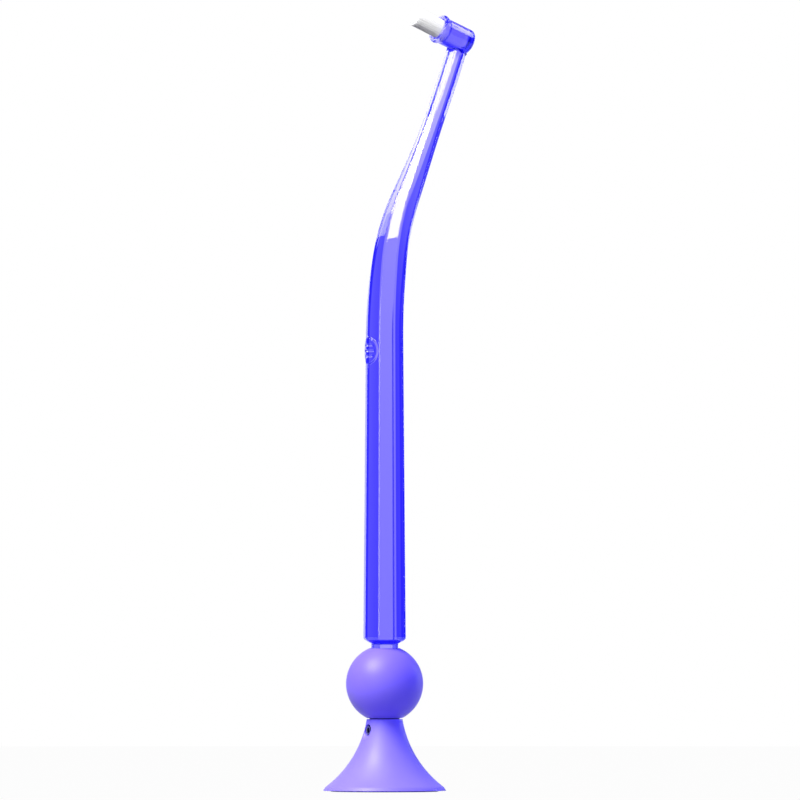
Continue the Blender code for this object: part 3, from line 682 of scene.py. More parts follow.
def octagon(fine_corner=None):
    """Corner ways, rounding offsets and outward ways of points round an octagon.

    A point is its reach times its corner way plus its rounding times its offset. That makes
    corner k two arcs with a narrow flat between them, about the line at k eighths of a turn,
    and straight flats between the corners. Each arc lies off that line by the flat's half,
    and further in by that half times the tangent of half a side, so that it still meets its
    side. The fine corner and its two sides have more points.
    """
    parts = []
    for side in range(SIDES):
        middle = 2.0 * HALF_SIDE * side
        count = FINE_EDGE_POINTS if side == fine_corner else EDGE_POINTS
        half_turn = np.linspace(-HALF_SIDE, 0.0, count)
        turn = np.concatenate((half_turn, half_turn + HALF_SIDE))
        half = EDGE_FLAT_SHARE * np.repeat((-1.0, 1.0), count)[:, None]
        angle = middle + turn
        way = np.stack((np.cos(angle), np.sin(angle)), axis=1)
        corner = np.broadcast_to((math.cos(middle), math.sin(middle)), way.shape)
        beside = np.broadcast_to((-math.sin(middle), math.cos(middle)), way.shape)
        flat = half * beside - abs(half) * math.tan(HALF_SIDE) * corner
        offset = way - corner / math.cos(HALF_SIDE) + flat
        parts.append(np.concatenate((corner, offset, way), axis=1))
    edges = []
    for side in range(SIDES):
        following = (side + 1) % SIDES
        low, high = parts[side][-1], parts[following][0]
        steps = np.array(SIDE_STEPS)
        if fine_corner in (side, following):
            steps = np.linspace(0.0, 1.0, FINE_SIDE_POINTS)[1:-1]
        edges += [parts[side], low + (high - low) * steps[:, None]]
    return np.concatenate(edges)


def across_and_sideways(radius, section, rounding, lift=0.0):
    """Both coordinates of a section at a reach and a rounding, lifted along its ways."""
    both = [radius * section[:, axis] + rounding * section[:, axis + 2] for axis in (0, 1)]
    return both[0] + lift * section[:, 4], both[1] + lift * section[:, 5]


def twisted(across, sideways, run):
    """Section coordinates turned about the centre line, clockwise as seen from the head.

    The angle rises smoothly from nothing at the straight handle's end to the whole twist.
    """
    angle = NECK_TWIST * smooth_step(run / TWIST_LENGTH)
    turned_across = across * np.cos(angle) + sideways * np.sin(angle)
    return turned_across, sideways * np.cos(angle) - across * np.sin(angle)


def swept(run, radius, section, rounding, lift=0.0):
    """Carry the section along the centre line, at a reach for each run.

    A point is the centre line's place, plus its first coordinate across the line in the
    plane of the bend and its second square to that plane, both turned by the neck's twist.
    """
    across, sideways = twisted(*across_and_sideways(radius, section, rounding, lift), run)
    x, z, lean = centre_line(run)
    return np.stack((x + across * np.cos(lean), sideways + 0.0 * x, z - across * np.sin(lean)), axis=-1)


def shoulder_profile():
    """Points (radius, height) up the spigot and round the handle's lower shoulder."""
    start = HANDLE_RADIUS - SHOULDER_ROUND * (1.0 - math.sin(SHOULDER_CONE))
    rise = (start - SPIGOT_RADIUS) * math.tan(SHOULDER_CONE)
    centre_height = HANDLE_BOTTOM + rise + SHOULDER_ROUND * math.cos(SHOULDER_CONE)
    centre = (HANDLE_RADIUS - SHOULDER_ROUND, centre_height)
    low = (SPIGOT_RADIUS, SPIGOT_END + SPIGOT_CHAMFER)
    root = (SPIGOT_RADIUS + 0.3 * SPIGOT_ROOT_ROUND, HANDLE_BOTTOM)
    return np.concatenate((
        line((SPIGOT_RADIUS - SPIGOT_CHAMFER, SPIGOT_END), low, 4),
        line(low, (SPIGOT_RADIUS, HANDLE_BOTTOM - SPIGOT_ROOT_ROUND), 8)[1:],
        line(root, (start, HANDLE_BOTTOM + rise), 5),
        arc(centre, SHOULDER_ROUND, math.degrees(SHOULDER_CONE) - 90.0, 0.0, 14)[1:],
    ))


def oval_lift(run, section, sizes):
    """Height of the oval pad over the handle: an even plateau with a rounded edge and grooves.

    The oval's measure is one at its rim: the square root of (height / half height) squared
    plus (sideways / half width) squared. Each groove is a bell in height.
    """
    across, sideways = across_and_sideways(handle_radius(run), section, sizes.edge_round)
    height = run + OVAL_DROP
    measure = np.hypot(height / (OVAL_HEIGHT / 2), sideways / (OVAL_WIDTH / 2))
    front = across < 0.0
    plateau = smooth_step((1.0 - measure) * (OVAL_HEIGHT / 2) / OVAL_EDGE) * front
    grooves = np.zeros_like(height)
    for rib in range(RIB_COUNT):
        middle = (rib - (RIB_COUNT - 1) / 2) * RIB_PITCH
        grooves = grooves + np.exp(-(((height - middle) / (RIB_GROOVE_WIDTH / 2)) ** 2))
    inner = smooth_step((RIB_REACH - measure) * RIB_FADE)
    return plateau * (sizes.oval_proud - sizes.rib_depth * grooves * inner)


def neck_end(section, rounding):
    """Runs at which the neck's edges meet the round cup, for each point of the section.

    The cup's axis crosses the neck at the head angle, so an edge meets it short of the axis
    by the cup's half width there, plus the share of its reach along the cup.
    """
    across, sideways = twisted(*across_and_sideways(NECK_RADIUS, section, rounding), NECK_LENGTH)
    half = np.sqrt(HEAD_RADIUS**2 - sideways**2)
    return NECK_LENGTH - (half + across * math.cos(HEAD_ANGLE)) / math.sin(HEAD_ANGLE)


def handle_surface(sizes):
    """The octagonal moulding from the spigot's end to inside the cup.

    Its parts are runs along the centre line with a reach and a lift: shoulder, plain handle,
    oval pad, bend, the blend to where each edge meets the cup, the fillet, which swells as a
    quarter circle does, and one row inside the cup.
    """
    section = octagon(PAD_CORNER)
    rounding = sizes.edge_round
    shoulder = shoulder_profile()
    shoulder_run = shoulder[:, 1:] - STRAIGHT_END
    oval_low = -OVAL_DROP - OVAL_HEIGHT / 2
    plain = np.linspace(shoulder_run[-1, 0], oval_low, HANDLE_ROWS)[1:-1, None]
    oval = np.linspace(oval_low, oval_low + OVAL_HEIGHT, OVAL_ROWS)[:, None]
    blend_start = NECK_LENGTH - HEAD_RADIUS - NECK_FILLET - 2.0 * NECK_RADIUS
    bend = np.linspace(oval[-1, 0], blend_start, CURVE_ROWS)[1:, None]
    meet = neck_end(section, rounding)
    fillet_start = meet - NECK_FILLET
    blend = blend_start + np.linspace(0.0, 1.0, BLEND_ROWS)[1:, None] * (fillet_start - blend_start)
    along = np.linspace(0.0, 1.0, FILLET_ROWS)[1:, None]
    swell = NECK_FILLET_FLARE * (1.0 - np.sqrt(1.0 - along**2))
    parts = (
        (shoulder_run, shoulder[:, :1], 0.0),
        (plain, handle_radius(plain), 0.0),
        (oval, handle_radius(oval), oval_lift(oval, section, sizes)),
        (bend, handle_radius(bend), 0.0),
        (blend, NECK_RADIUS, 0.0),
        (fillet_start + along * NECK_FILLET, NECK_RADIUS, swell),
        ((meet + NECK_FILLET / 3)[None], NECK_RADIUS, 0.0),
    )
    rows = [swept(run, reach, section, rounding, lift) for run, reach, lift in parts]
    return with_poles(np.concatenate(rows))


def head_turn():
    """Place of the cup's mouth, and the turn that takes +Z to the tuft's direction."""
    x, z, lean = (float(value) for value in centre_line(NECK_LENGTH))
    angle = math.pi / 2 - lean + HEAD_ANGLE
    tuft = Vector((math.cos(angle), 0.0, math.sin(angle)))
    mouth = Vector((x, 0.0, z)) + tuft * HEAD_SETBACK
    return mouth, Matrix.Rotation(math.pi / 2 - angle, 3, "Y")


def cup_profile():
    """Points (radius, height) from the bore's floor over the beaded lip to the rear's middle."""
    floor = -BORE_DEPTH
    bore_corner = (BORE_RADIUS - LIP_ROUND, floor + LIP_ROUND)
    lip = (BORE_RADIUS + LIP_ROUND, -LIP_ROUND)
    bead = (HEAD_RADIUS + BEAD_PROUD - BEAD_ROUND, -BEAD_WIDTH / 2)
    bead_top = math.degrees(math.asin(BEAD_WIDTH / 2 / BEAD_ROUND))
    rear = (HEAD_RADIUS - HEAD_REAR_ROUND, -HEAD_LENGTH + HEAD_CROWN + HEAD_REAR_ROUND)
    crown = np.linspace(1.0, 0.0, 12)[1:, None]
    middle = np.concatenate((crown, crown**2), axis=1) * (rear[0], HEAD_CROWN)
    return np.concatenate((
        line((0.0, floor), (BORE_RADIUS - LIP_ROUND, floor), 6)[:-1],
        arc(bore_corner, LIP_ROUND, -90.0, 0.0, 5),
        line((BORE_RADIUS, floor + LIP_ROUND), (BORE_RADIUS, -LIP_ROUND), 8)[1:-1],
        arc(lip, LIP_ROUND, 180.0, 90.0, 6),
        arc(bead, BEAD_ROUND, bead_top, -bead_top, 16),
        line((HEAD_RADIUS, -BEAD_WIDTH - BEAD_STEP), (HEAD_RADIUS, rear[1]), 12)[:-1],
        arc(rear, HEAD_REAR_ROUND, 0.0, -90.0, 14),
        middle + (0.0, -HEAD_LENGTH),
    ))


def tuft_filaments(sizes):
    """Corner points of every filament, as (filament, row, corner, xyz) in the tuft's frame.

    Filaments stand on a triangular grid inside a disc. Each leans out as it rises, so that
    the tuft widens by its flare, and ends under a dome that falls with the square of its
    distance from the middle.
    """
    chance = np.random.default_rng(TUFT_SEED)
    pitch = sizes.filament_pitch
    reach = int(TUFT_RADIUS / pitch) + 2
    column, row = np.meshgrid(np.arange(-reach, reach + 1), np.arange(-reach, reach + 1))
    x = (column + 0.5 * (row % 2)) * pitch
    y = row * pitch * math.sqrt(3.0) / 2.0
    inside = np.hypot(x, y) < TUFT_RADIUS - sizes.filament_radius
    base = np.stack((x[inside], y[inside]), axis=1)
    count = len(base)
    distance = np.hypot(base[:, 0], base[:, 1]) / TUFT_RADIUS
    over_anchor = np.abs(base[:, 1]) < ANCHOR_THICKNESS / 2 + sizes.filament_radius
    root = -BORE_DEPTH + FIT_GAP + np.where(over_anchor, ANCHOR_HEIGHT + ANCHOR_GAP, 0.0)
    end = TUFT_LENGTH - TUFT_DOME * distance**2 - TUFT_UNEVENNESS * chance.random(count)
    along = np.array(FILAMENT_ROWS)
    height = root[:, None] + (end - root)[:, None] * along
    share_out = np.clip(height / TUFT_LENGTH, 0.0, 1.0)[:, :, None]
    stray = chance.normal(0.0, TUFT_STRAY, (count, 1, 2)) * (along**2)[None, :, None]
    spread = 1.0 + (TUFT_FLARE - 1.0) * share_out
    middle = base[:, None, :] * spread + stray + share_out * (TUFT_LEAN, 0.0)
    corner = angles_round(FILAMENT_CORNERS)
    width = sizes.filament_radius * np.array(FILAMENT_WIDTHS)
    ring = width[:, None, None] * np.stack((np.cos(corner), np.sin(corner)), axis=1)
    flat = middle[:, :, None, :] + ring[None]
    tall = np.broadcast_to(height[:, :, None, None], flat.shape[:3] + (1,))
    return np.concatenate((flat, tall), axis=-1)


def strands(name, points):
    """One object of closed strands, each a stack of rings with a flat face at both ends."""
    count, rows, corners = points.shape[:3]
    index = np.arange(count * rows * corners).reshape(count, rows, corners)
    faces = wrapped_faces(index[:, :-1], index[:, 1:])
    faces += index[:, 0, ::-1].tolist() + index[:, -1].tolist()
    return added(name, mesh_of(name, points, faces))


def flare_radius(height, inset=0.0):
    """Radius of the foot at a height, or of a surface inset under its skin.

    The flare is an arc through the neck's top and the rim's shoulder. Its centre lies off
    the middle of their chord, square to it, by the leg that its radius leaves.
    """
    top = np.array((FOOT_NECK_RADIUS, FOOT_HEIGHT))
    low = np.array((RIM_SHOULDER_RADIUS, RIM_SHOULDER_HEIGHT))
    chord = low - top
    length = np.hypot(*chord)
    square = np.array((-chord[1], chord[0])) / length
    centre = (top + low) / 2 + square * math.sqrt(FLARE_RADIUS**2 - (length / 2) ** 2)
    return centre[0] - np.sqrt((FLARE_RADIUS + inset) ** 2 - (centre[1] - height) ** 2)


def flare(top, low, count, inset=0.0):
    """Points (radius, height) down the flare between two heights."""
    height = np.linspace(top, low, count)
    return np.stack((flare_radius(height, inset), height), axis=1)


def foot_profile(sizes):
    """Points (radius, height) from the spindle bore's floor round the skin to the boss."""
    bore_floor = FOOT_HEIGHT - SPINDLE_DEPTH - FIT_GAP
    recess = FOOT_HEIGHT - WASHER_THICKNESS / 2 - FIT_GAP / 2
    boss_end = bore_floor - BOSS_FLOOR
    pad_top = PAD_THICKNESS + FIT_GAP
    pad_wall = PAD_RADIUS + FIT_GAP
    seam = sizes.seam_round
    crest = (FOOT_NECK_RADIUS - seam, FOOT_HEIGHT - seam)
    rim = (RIM_RADIUS - RIM_ROUND, RIM_CLEARANCE + RIM_ROUND)
    rim_top = (RIM_SHOULDER_RADIUS + RIM_ROUND / 2, RIM_SHOULDER_HEIGHT - RIM_ROUND)
    rim_low = (RIM_RADIUS - RIM_ROUND / 10, rim[1] + RIM_ROUND / 2)
    return np.concatenate((
        line((0.0, bore_floor), (SPINDLE_BORE, bore_floor), 3),
        line((SPINDLE_BORE, recess), (WASHER_RECESS, recess), 2),
        line((WASHER_RECESS, FOOT_HEIGHT), (FOOT_NECK_RADIUS - seam, FOOT_HEIGHT), 2),
        arc(crest, seam, 75.0, 15.0, 5),
        flare(FOOT_HEIGHT - 1.6 * seam, RIM_SHOULDER_HEIGHT + 1.5 * RIM_ROUND, FLARE_ROWS),
        line(rim_top, rim_low, 5),
        arc(rim, RIM_ROUND, 0.0, -90.0, 7),
        line((pad_wall, RIM_CLEARANCE), (pad_wall, pad_top), 3),
        flare(pad_top, HOLLOW_HEIGHT, 24, FOOT_WALL),
        line((BOSS_RADIUS, HOLLOW_HEIGHT), (BOSS_RADIUS, boss_end), 6),
        line((0.0, boss_end), (0.0, boss_end), 1),
    ))


def ball_profile(sizes):
    """Points (radius, height) from the ball's top to its seat and up the spindle's bore."""
    seat_angle = -math.degrees(math.acos(BALL_SEAT_RADIUS / BALL_RADIUS))
    recess = BALL_SEAT + WASHER_THICKNESS / 2 + FIT_GAP / 2
    bore_top = BALL_SEAT + SHANK_LENGTH + FIT_GAP
    skin = arc((0.0, BALL_CENTRE), BALL_RADIUS, 90.0, seat_angle + SEAM_DEGREES, BALL_ROWS)
    edge = np.array((BALL_SEAT_RADIUS - sizes.seam_round / 2, BALL_SEAT))
    return np.concatenate((
        skin,
        line(edge, (WASHER_RECESS, BALL_SEAT), 2),
        line((WASHER_RECESS, recess), (SHANK_BORE, recess), 2),
        line((SHANK_BORE, bore_top), (0.0, bore_top), 3),
    ))


def screw_turn():
    """Turns a piece's own +Z to point out of the front of the foot, along -X."""
    return Matrix.Rotation(-math.pi / 2, 3, "Y")


def screw_surface():
    """The set screw about its own axis: a threaded barrel, chamfered, with a dog point.

    The thread is a wave round the barrel: its phase is the height over the pitch less the
    turn, and the skin dips by the thread's depth away from the crest.
    """
    face = float(flare_radius(SCREW_HEIGHT)) - SCREW_SINK
    shoulder = SCREW_TIP + DOG_LENGTH
    angle = angles_round(SCREW_COLUMNS)
    height = np.linspace(face, shoulder, SCREW_ROWS)[:, None]
    phase = height / THREAD_PITCH - angle / (2.0 * np.pi)
    tooth = np.abs(2.0 * (phase % 1.0) - 1.0)
    dip = THREAD_DEPTH * smooth_step(1.6 * (1.0 - tooth))
    inward = np.minimum(face - height, height - shoulder)
    runout = smooth_step(inward / THREAD_RUNOUT)
    radius = SCREW_RADIUS - dip * runout - THREAD_DEPTH * (1.0 - runout)
    barrel = about_axis(radius, angle, height)
    side = line((DOG_RADIUS, shoulder), (DOG_RADIUS, SCREW_TIP + DOG_BEVEL), 3)
    dog = np.concatenate((side, ((DOG_RADIUS - DOG_BEVEL, SCREW_TIP),)))
    return np.concatenate((barrel, turned(dog, SCREW_COLUMNS)))


def hexagon_cutter():
    """The key's six-sided hole, with a cone at its mouth and a cone at its floor."""
    face = float(flare_radius(SCREW_HEIGHT)) - SCREW_SINK
    reach = HEX_ACROSS_FLATS / 2 / math.cos(math.pi / 6)
    profile = np.array((
        (reach + KEY_LEAD_IN + FIT_GAP, face + FIT_GAP),
        (reach, face - KEY_LEAD_IN),
        (reach, face - HEX_DEPTH),
        (0.0, face - HEX_DEPTH - KEY_CONE_SHARE * reach),
    ))
    return turned(profile, 6)


def pad_profile():
    """Points (radius, height) of the foot's pad: rounded edge, shallow rings underneath."""
    low = (PAD_RADIUS - PAD_EDGE_ROUND, PAD_EDGE_ROUND)
    radius = np.linspace(low[0], 0.0, 60)[1:]
    wave = np.sin(radius / PAD_RING_PITCH * np.pi) ** 2
    ring = PAD_RING_DEPTH * smooth_step(1.6 * wave - 0.9)
    ring[radius < PAD_RING_START] = 0.0
    return np.concatenate((
        line((0.0, PAD_THICKNESS), (PAD_RADIUS - PAD_BEVEL, PAD_THICKNESS), 6),
        line((PAD_RADIUS, PAD_THICKNESS - PAD_BEVEL), (PAD_RADIUS, PAD_EDGE_ROUND), 4),
        arc(low, PAD_EDGE_ROUND, 0.0, -90.0, 6)[1:],
        np.stack((radius, ring), axis=1),
    ))


def socket_cutter(context):
    """The socket's cutter, from the brush's edges and the stand's bevel."""
    rounding = context.scene.brush_sizes.edge_round + FIT_GAP
    radius = SPIGOT_RADIUS + FIT_GAP / math.cos(HALF_SIDE)
    lead_in = context.scene.stand_sizes.socket_lead_in
    mouth = BALL_CENTRE + math.sqrt(BALL_RADIUS**2 - radius**2) - lead_in
    top = BALL_TOP + FIT_GAP
    run = np.array((BALL_TOP - SOCKET_DEPTH, mouth, top))[:, None] - STRAIGHT_END
    reach = np.array((radius, radius, radius + top - mouth))[:, None]
    return solid("socket_cutter", with_poles(swept(run, reach, octagon(), rounding)))


def screw_hole_cutter(bevel):
    """The screw's hole from the foot's middle out, with a cone at its mouth."""
    skin = float(flare_radius(SCREW_HEIGHT))
    profile = np.array((
        (SCREW_HOLE_RADIUS, 0.0),
        (SCREW_HOLE_RADIUS, skin - bevel),
        (SCREW_HOLE_RADIUS + CUTTER_REACH, skin + CUTTER_REACH - bevel),
    ))
    return across_the_foot("screw_hole_cutter", turned(profile, HOLE_COLUMNS))


def across_the_foot(name, points):
    """A closed object on the screw's own axis, carried to its place in the foot."""
    return solid(name, with_poles(moved(points, screw_turn(), SCREW_PLACE)))


class BRUSH_OT_clear_moulding(bpy.types.Operator):
    """Make the clear moulding: spigot, octagonal handle, oval pad, neck and cup"""

    bl_idname = "brush_stand.clear_moulding"
    bl_label = "Clear Moulding"

    def execute(self, context):
        sizes = context.scene.brush_sizes
        mouth, turn = head_turn()
        moulding = solid("clear_moulding", handle_surface(sizes))
        cup = solid("cup_blank", moved(turned(cup_profile(), CUP_COLUMNS), turn, mouth))
        combine(moulding, cup, "UNION")
        head = mouth - turn @ Vector((0.0, 0.0, HEAD_LENGTH / 2))
        material = clear_plastic(context.scene.brush_colours, tuple(head))
        dress(moulding, material, "brush", "clear_violet_plastic", "brush_body")
        return {"FINISHED"}


class BRUSH_OT_tuft(bpy.types.Operator):
    """Make the tuft of filaments, and finish the anchor plate that holds it"""

    bl_idname = "brush_stand.tuft"
    bl_label = "Tuft"

    def execute(self, context):
        mouth, turn = head_turn()
        colours = context.scene.brush_colours
        points = moved(tuft_filaments(context.scene.brush_sizes), turn, mouth)
        tuft = strands("tuft_filaments", points)
        place, angles = tuple(mouth), tuple(turn.to_euler())
        material = bristle_nylon(colours, angles, place)
        dress(tuft, material, "brush", "bristle_nylon", "bristle_tuft")
        plate = turned_metal("anchor_metal", colours.brass, 0.35, place, angles)
        refinish(frame["nodes"]["tuft_anchor"].data, plate)
        return {"FINISHED"}


class BRUSH_OT_ball(bpy.types.Operator):
    """Make the swivelling ball with its eight-sided socket, and finish its spindle"""

    bl_idname = "brush_stand.ball"
    bl_label = "Ball"

    def execute(self, context):
        colours = context.scene.brush_colours
        profile = ball_profile(context.scene.stand_sizes)
        ball = solid("swivel_ball", turned(profile, BALL_COLUMNS))
        combine(ball, socket_cutter(context), "DIFFERENCE")
        material = matte_plastic("ball_plastic", colours.ball, colours.matte_roughness)
        dress(ball, material, "ball", "ball_plastic", "stand_ball")
        spindle = turned_metal("spindle_steel", colours.steel, 0.28)
        refinish(frame["nodes"]["swivel_spindle"].data, spindle)
        return {"FINISHED"}


class BRUSH_OT_foot(bpy.types.Operator):
    """Make the flared foot with its screw hole, its pad, and finish washer and ballast"""

    bl_idname = "brush_stand.foot"
    bl_label = "Foot"

    def execute(self, context):
        colours = context.scene.brush_colours
        sizes = context.scene.stand_sizes
        foot = solid("flared_foot", turned(foot_profile(sizes), FOOT_COLUMNS))
        combine(foot, screw_hole_cutter(sizes.hole_bevel), "DIFFERENCE")
        material = matte_plastic("foot_plastic", colours.foot, colours.matte_roughness)
        dress(foot, material, "foot", "foot_plastic", "foot_shell")
        pad = solid("rubber_pad", turned(pad_profile(), PAD_COLUMNS))
        dress(pad, pad_rubber("pad_rubber", colours.pad), "foot", "pad_rubber", "foot_pad")
        washer = slip_plastic("washer_plastic", colours.washer)
        refinish(frame["nodes"]["thrust_washer"].data, washer)
        ballast = cast_metal("ballast_steel", colours.iron)
        refinish(frame["nodes"]["ballast_weight"].data, ballast)
        return {"FINISHED"}


class BRUSH_OT_screw(bpy.types.Operator):
    """Make the threaded set screw that keeps the ball on the foot"""

    bl_idname = "brush_stand.screw"
    bl_label = "Set Screw"

    def execute(self, context):
        screw = across_the_foot("locking_screw", screw_surface())
        combine(screw, across_the_foot("key_cutter", hexagon_cutter()), "DIFFERENCE")
        rgb = context.scene.brush_colours.screw
        angles = tuple(screw_turn().to_euler())
        material = turned_metal("screw_steel", rgb, 0.2, SCREW_PLACE, angles)
        dress(screw, material, "foot", "screw_steel", "set_screw")
        return {"FINISHED"}


def view_direction(right, up, front):
    """A unit direction from the object, in the camera's own right, up and towards it."""
    return (VIEW_RIGHT * right + VIEW_UP * up + VIEW_BACK * front).normalized()


def add_box(name, direction, distance, width, height, radiance, aim, along=VIEW_UP):
    """A rectangular soft box that faces its aim, from its radiance, with its height along a way.

    A lamp's power is its radiance times pi times its area.
    """
    lamp = bpy.data.lights.new(name, "AREA")
    lamp.shape = "RECTANGLE"
    lamp.size = width
    lamp.size_y = height
    lamp.energy = radiance * math.pi * width * height
    obj = added(name, lamp)
    obj.location = aim + direction * distance
    tall = (along - direction * along.dot(direction)).normalized()
    obj.rotation_euler = Matrix((tall.cross(direction), tall, direction)).transposed().to_euler()
    obj.visible_camera = False
    obj.visible_transmission = False
    return obj


def add_strip(name, start, end, width, radiance, aim):
    """A long box between two directions, which the facets of the clear plastic mirror."""
    start, end = view_direction(*start), view_direction(*end)
    length = STRIP_DISTANCE * (end - start).length
    middle = (start + end).normalized()
    return add_box(name, middle, STRIP_DISTANCE, width, length, radiance, aim, end - start)


def shine_on(lamps, *names):
    """Keep the lamps' light and its shadows to the named pieces, as black cards would."""
    pieces = bpy.data.collections.new(f"lit_by_{lamps[0].name}")
    for name in names:
        pieces.objects.link(bpy.data.objects[name])
    for lamp in lamps:
        lamp.light_linking.receiver_collection = pieces
        lamp.light_linking.blocker_collection = pieces


def shown_ray(finish):
    """One for rays that show the background: straight, mirrored or seen through glass."""
    seen = [finish.node("ShaderNodeLightPath", output=index) for index in SHOWN_RAYS]
    most = seen[0].maths("MAXIMUM", seen[0], seen[1])
    return most.maths("MAXIMUM", most, seen[2])


def add_floor(levels):
    """Pale floor: a plain matte disc, shown mostly as even white so that its shadow is faint."""
    finish = Finish.named("studio_floor")
    matte = finish.node("ShaderNodeBsdfDiffuse", {}, {"Color": FLOOR_MATTE})
    white = finish.node("ShaderNodeEmission", {}, {"Color": WHITE, "Strength": 1.0})
    factor = shown_ray(finish) * levels.floor_share
    mixed = finish.node("ShaderNodeMixShader", {}, {0: factor, 1: matte, 2: white})
    finish.node("ShaderNodeOutputMaterial", {}, {"Surface": mixed})
    radius = np.linspace(0.0, 1.0, 6) ** 1.5
    floor = solid("studio_floor", turned(np.stack((radius, 0.0 * radius), axis=1), 48))
    floor.data.materials.append(finish.material)


def add_world(levels):
    """White behind everything that is seen, and a softer level on matte surfaces.

    Gloss and clear plastic meet coloured sides: the further a ray points to the view's left
    or right, or up, the more of their colour it gets.
    """
    world = bpy.data.worlds.new("studio")
    world.use_nodes = True
    bpy.context.scene.world = world
    finish = Finish(world.node_tree)
    strength = shown_ray(finish) * (1.0 - levels.ambient) + levels.ambient
    spot = finish.node("ShaderNodeTexCoord", output=0)
    dot = {"operation": "DOT_PRODUCT"}
    aside = finish.node("ShaderNodeVectorMath", dot, {0: spot, 1: tuple(VIEW_RIGHT)}, output=1)
    above = finish.node("ShaderNodeVectorMath", dot, {0: spot, 1: tuple(VIEW_UP)}, output=1)
    off = aside.maths("MAXIMUM", aside.maths("ABSOLUTE", aside, 0.0), above)
    beside = finish.ramp(off, SIDES_START, SIDES_FULL)
    bounced = 1.0 - finish.node("ShaderNodeLightPath", output=0)
    shade = finish.mix(beside * bounced * shown_ray(finish), WHITE, tinted(levels.sides))
    background = finish.node("ShaderNodeBackground", {}, {"Color": shade, "Strength": strength})
    finish.node("ShaderNodeOutputWorld", {}, {"Surface": background})


def add_strips(levels):
    """Long boxes that the clear plastic mirrors: two in front, two behind, one for the cup."""
    head = head_turn()[0]
    key, back = levels.key_strips, levels.back_strips
    # Name, both ends' ways, width, radiance and aim
    strips = (
        ("key_low", (0.0, 0.33, 0.94), (-0.22, 0.63, 0.745), 0.15, key, AIM_NECK),
        ("key_high", (-0.22, 0.63, 0.745), (-0.7, 0.5, 0.52), 0.15, key, AIM_NECK),
        ("back_low", (-0.93, 0.35, -0.1), (-0.75, 0.48, -0.46), 0.25, back, AIM_NECK),
        ("back_high", (-0.75, 0.48, -0.46), (-0.57, 0.22, -0.79), 0.25, back, AIM_NECK),
        ("cup_strip", (0.887, 0.415, 0.17), (0.556, 0.612, -0.56), 0.14, levels.cup_strip, head),
    )
    shine_on([add_strip(*strip) for strip in strips], "clear_moulding", "tuft_filaments")


def add_boxes(levels):
    """Soft boxes: one over the tuft, three violet ones round the stand, three for the rest."""
    head = head_turn()[0]
    fill = levels.stand_fill
    # Name, way, distance, width, height, radiance and aim
    boxes = (
        ("tuft_box", (-0.1, 0.55, 0.83), 1.0, 0.6, 0.6, levels.tuft_box, head),
        ("fill_front", (-0.05, 0.05, 1.0), 1.0, 0.8, 0.8, fill, AIM_STAND),
        ("fill_right", (0.95, 0.1, -0.1), 1.0, 0.8, 0.8, fill, AIM_STAND),
        ("fill_back", (-0.4, 0.1, -0.9), 1.0, 0.8, 0.8, fill, AIM_STAND),
        ("sky_box", (-0.46, 0.8, 0.38), 1.6, 0.8, 0.8, levels.sky_box, AIM_STAND),
        ("edge_strip", (-0.5, 0.0, 0.86), 1.2, 0.1, 0.9, levels.edge_strip, AIM_MIDDLE),
        ("rim_strip", (0.75, 0.1, -0.6), 1.0, 0.15, 0.6, levels.rim_strip, AIM_STAND),
    )
    lamps = [add_box(name, view_direction(*way), *rest) for name, way, *rest in boxes]
    shine_on(lamps[:1], "tuft_filaments")
    shine_on(lamps[1:4], "swivel_ball", "flared_foot")
    for lamp in lamps[1:4]:
        lamp.data.color = levels.fill


def add_camera():
    """The photograph's view: level, from far off, 30 degrees round from the bend's side."""
    camera = bpy.data.cameras.new("camera")
    camera.lens = CAMERA_LENS
    camera.sensor_width = SENSOR_WIDTH
    obj = added("camera", camera)
    aim = VIEW_RIGHT * AIM_RIGHT + VIEW_UP * AIM_HEIGHT
    obj.location = aim + VIEW_BACK * CAMERA_DISTANCE
    obj.rotation_euler = VIEW_BACK.to_track_quat("Z", "Y").to_euler()
    bpy.context.scene.camera = obj


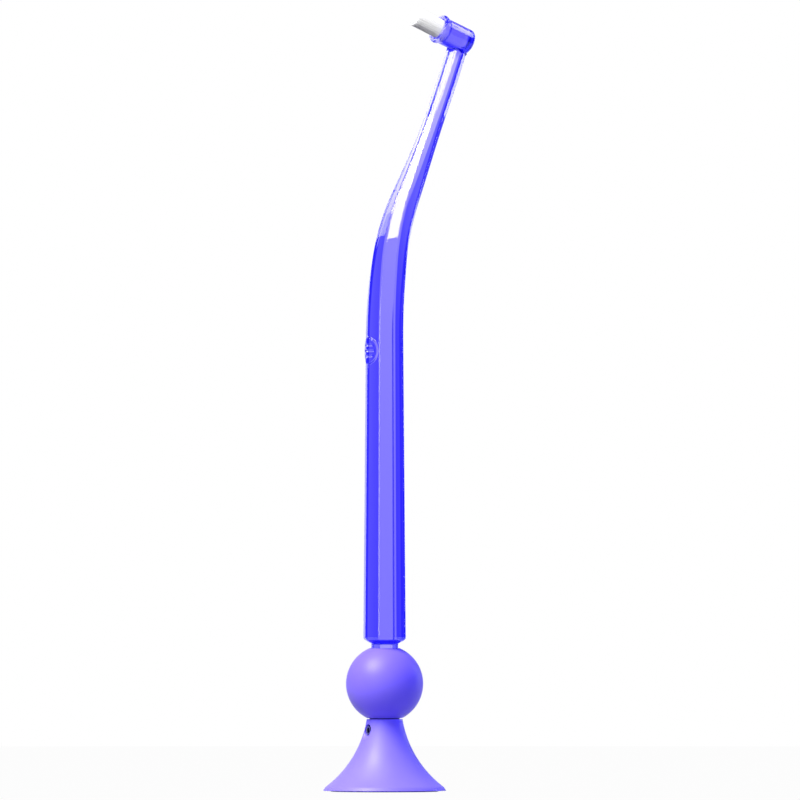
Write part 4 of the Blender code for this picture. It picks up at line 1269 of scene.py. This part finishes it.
class BRUSH_OT_studio(bpy.types.Operator):
    """Set up the floor, the white surround, the soft boxes and the camera"""

    bl_idname = "brush_stand.studio"
    bl_label = "Studio"

    def execute(self, context):
        levels = context.scene.studio_levels
        context.scene.view_settings.view_transform = "Standard"
        # Light kept inside the clear plastic counts as glossy, and in the tuft as diffuse
        for kind, bounces in BOUNCES.items():
            setattr(context.scene.cycles, f"{kind}_bounces", bounces)
        add_floor(levels)
        add_world(levels)
        add_strips(levels)
        add_boxes(levels)
        add_camera()
        return {"FINISHED"}


STEPS = (
    BRUSH_OT_clear_moulding, BRUSH_OT_tuft, BRUSH_OT_ball, BRUSH_OT_foot, BRUSH_OT_screw,
    BRUSH_OT_studio,
)
GROUPS = {
    "brush_sizes": BrushSizes,
    "stand_sizes": StandSizes,
    "brush_colours": BrushColours,
    "studio_levels": StudioLevels,
}


class BRUSH_PT_stand(bpy.types.Panel):
    """Sizes, colours and levels, and a button for each step"""

    bl_label = "Brush Stand"
    bl_idname = "BRUSH_PT_stand"
    bl_space_type = "VIEW_3D"
    bl_region_type = "UI"
    bl_category = "Brush Stand"

    def draw(self, context):
        for group_name, group in GROUPS.items():
            box = self.layout.box()
            values = getattr(context.scene, group_name)
            for name in group.__annotations__:
                box.prop(values, name)
        for step in STEPS:
            self.layout.operator(step.bl_idname)


def register():
    for group_name, group in GROUPS.items():
        bpy.utils.register_class(group)
        setattr(bpy.types.Scene, group_name, bpy.props.PointerProperty(type=group))
    for cls in (*STEPS, BRUSH_PT_stand):
        bpy.utils.register_class(cls)


def unregister():
    for cls in (BRUSH_PT_stand, *reversed(STEPS)):
        bpy.utils.unregister_class(cls)
    for group_name, group in reversed(GROUPS.items()):
        delattr(bpy.types.Scene, group_name)
        bpy.utils.unregister_class(group)


def main():
    register()
    bpy.ops.brush_stand.clear_moulding()
    bpy.ops.brush_stand.tuft()
    bpy.ops.brush_stand.ball()
    bpy.ops.brush_stand.foot()
    bpy.ops.brush_stand.screw()
    bpy.ops.brush_stand.studio()


if __name__ == "__main__":
    main()
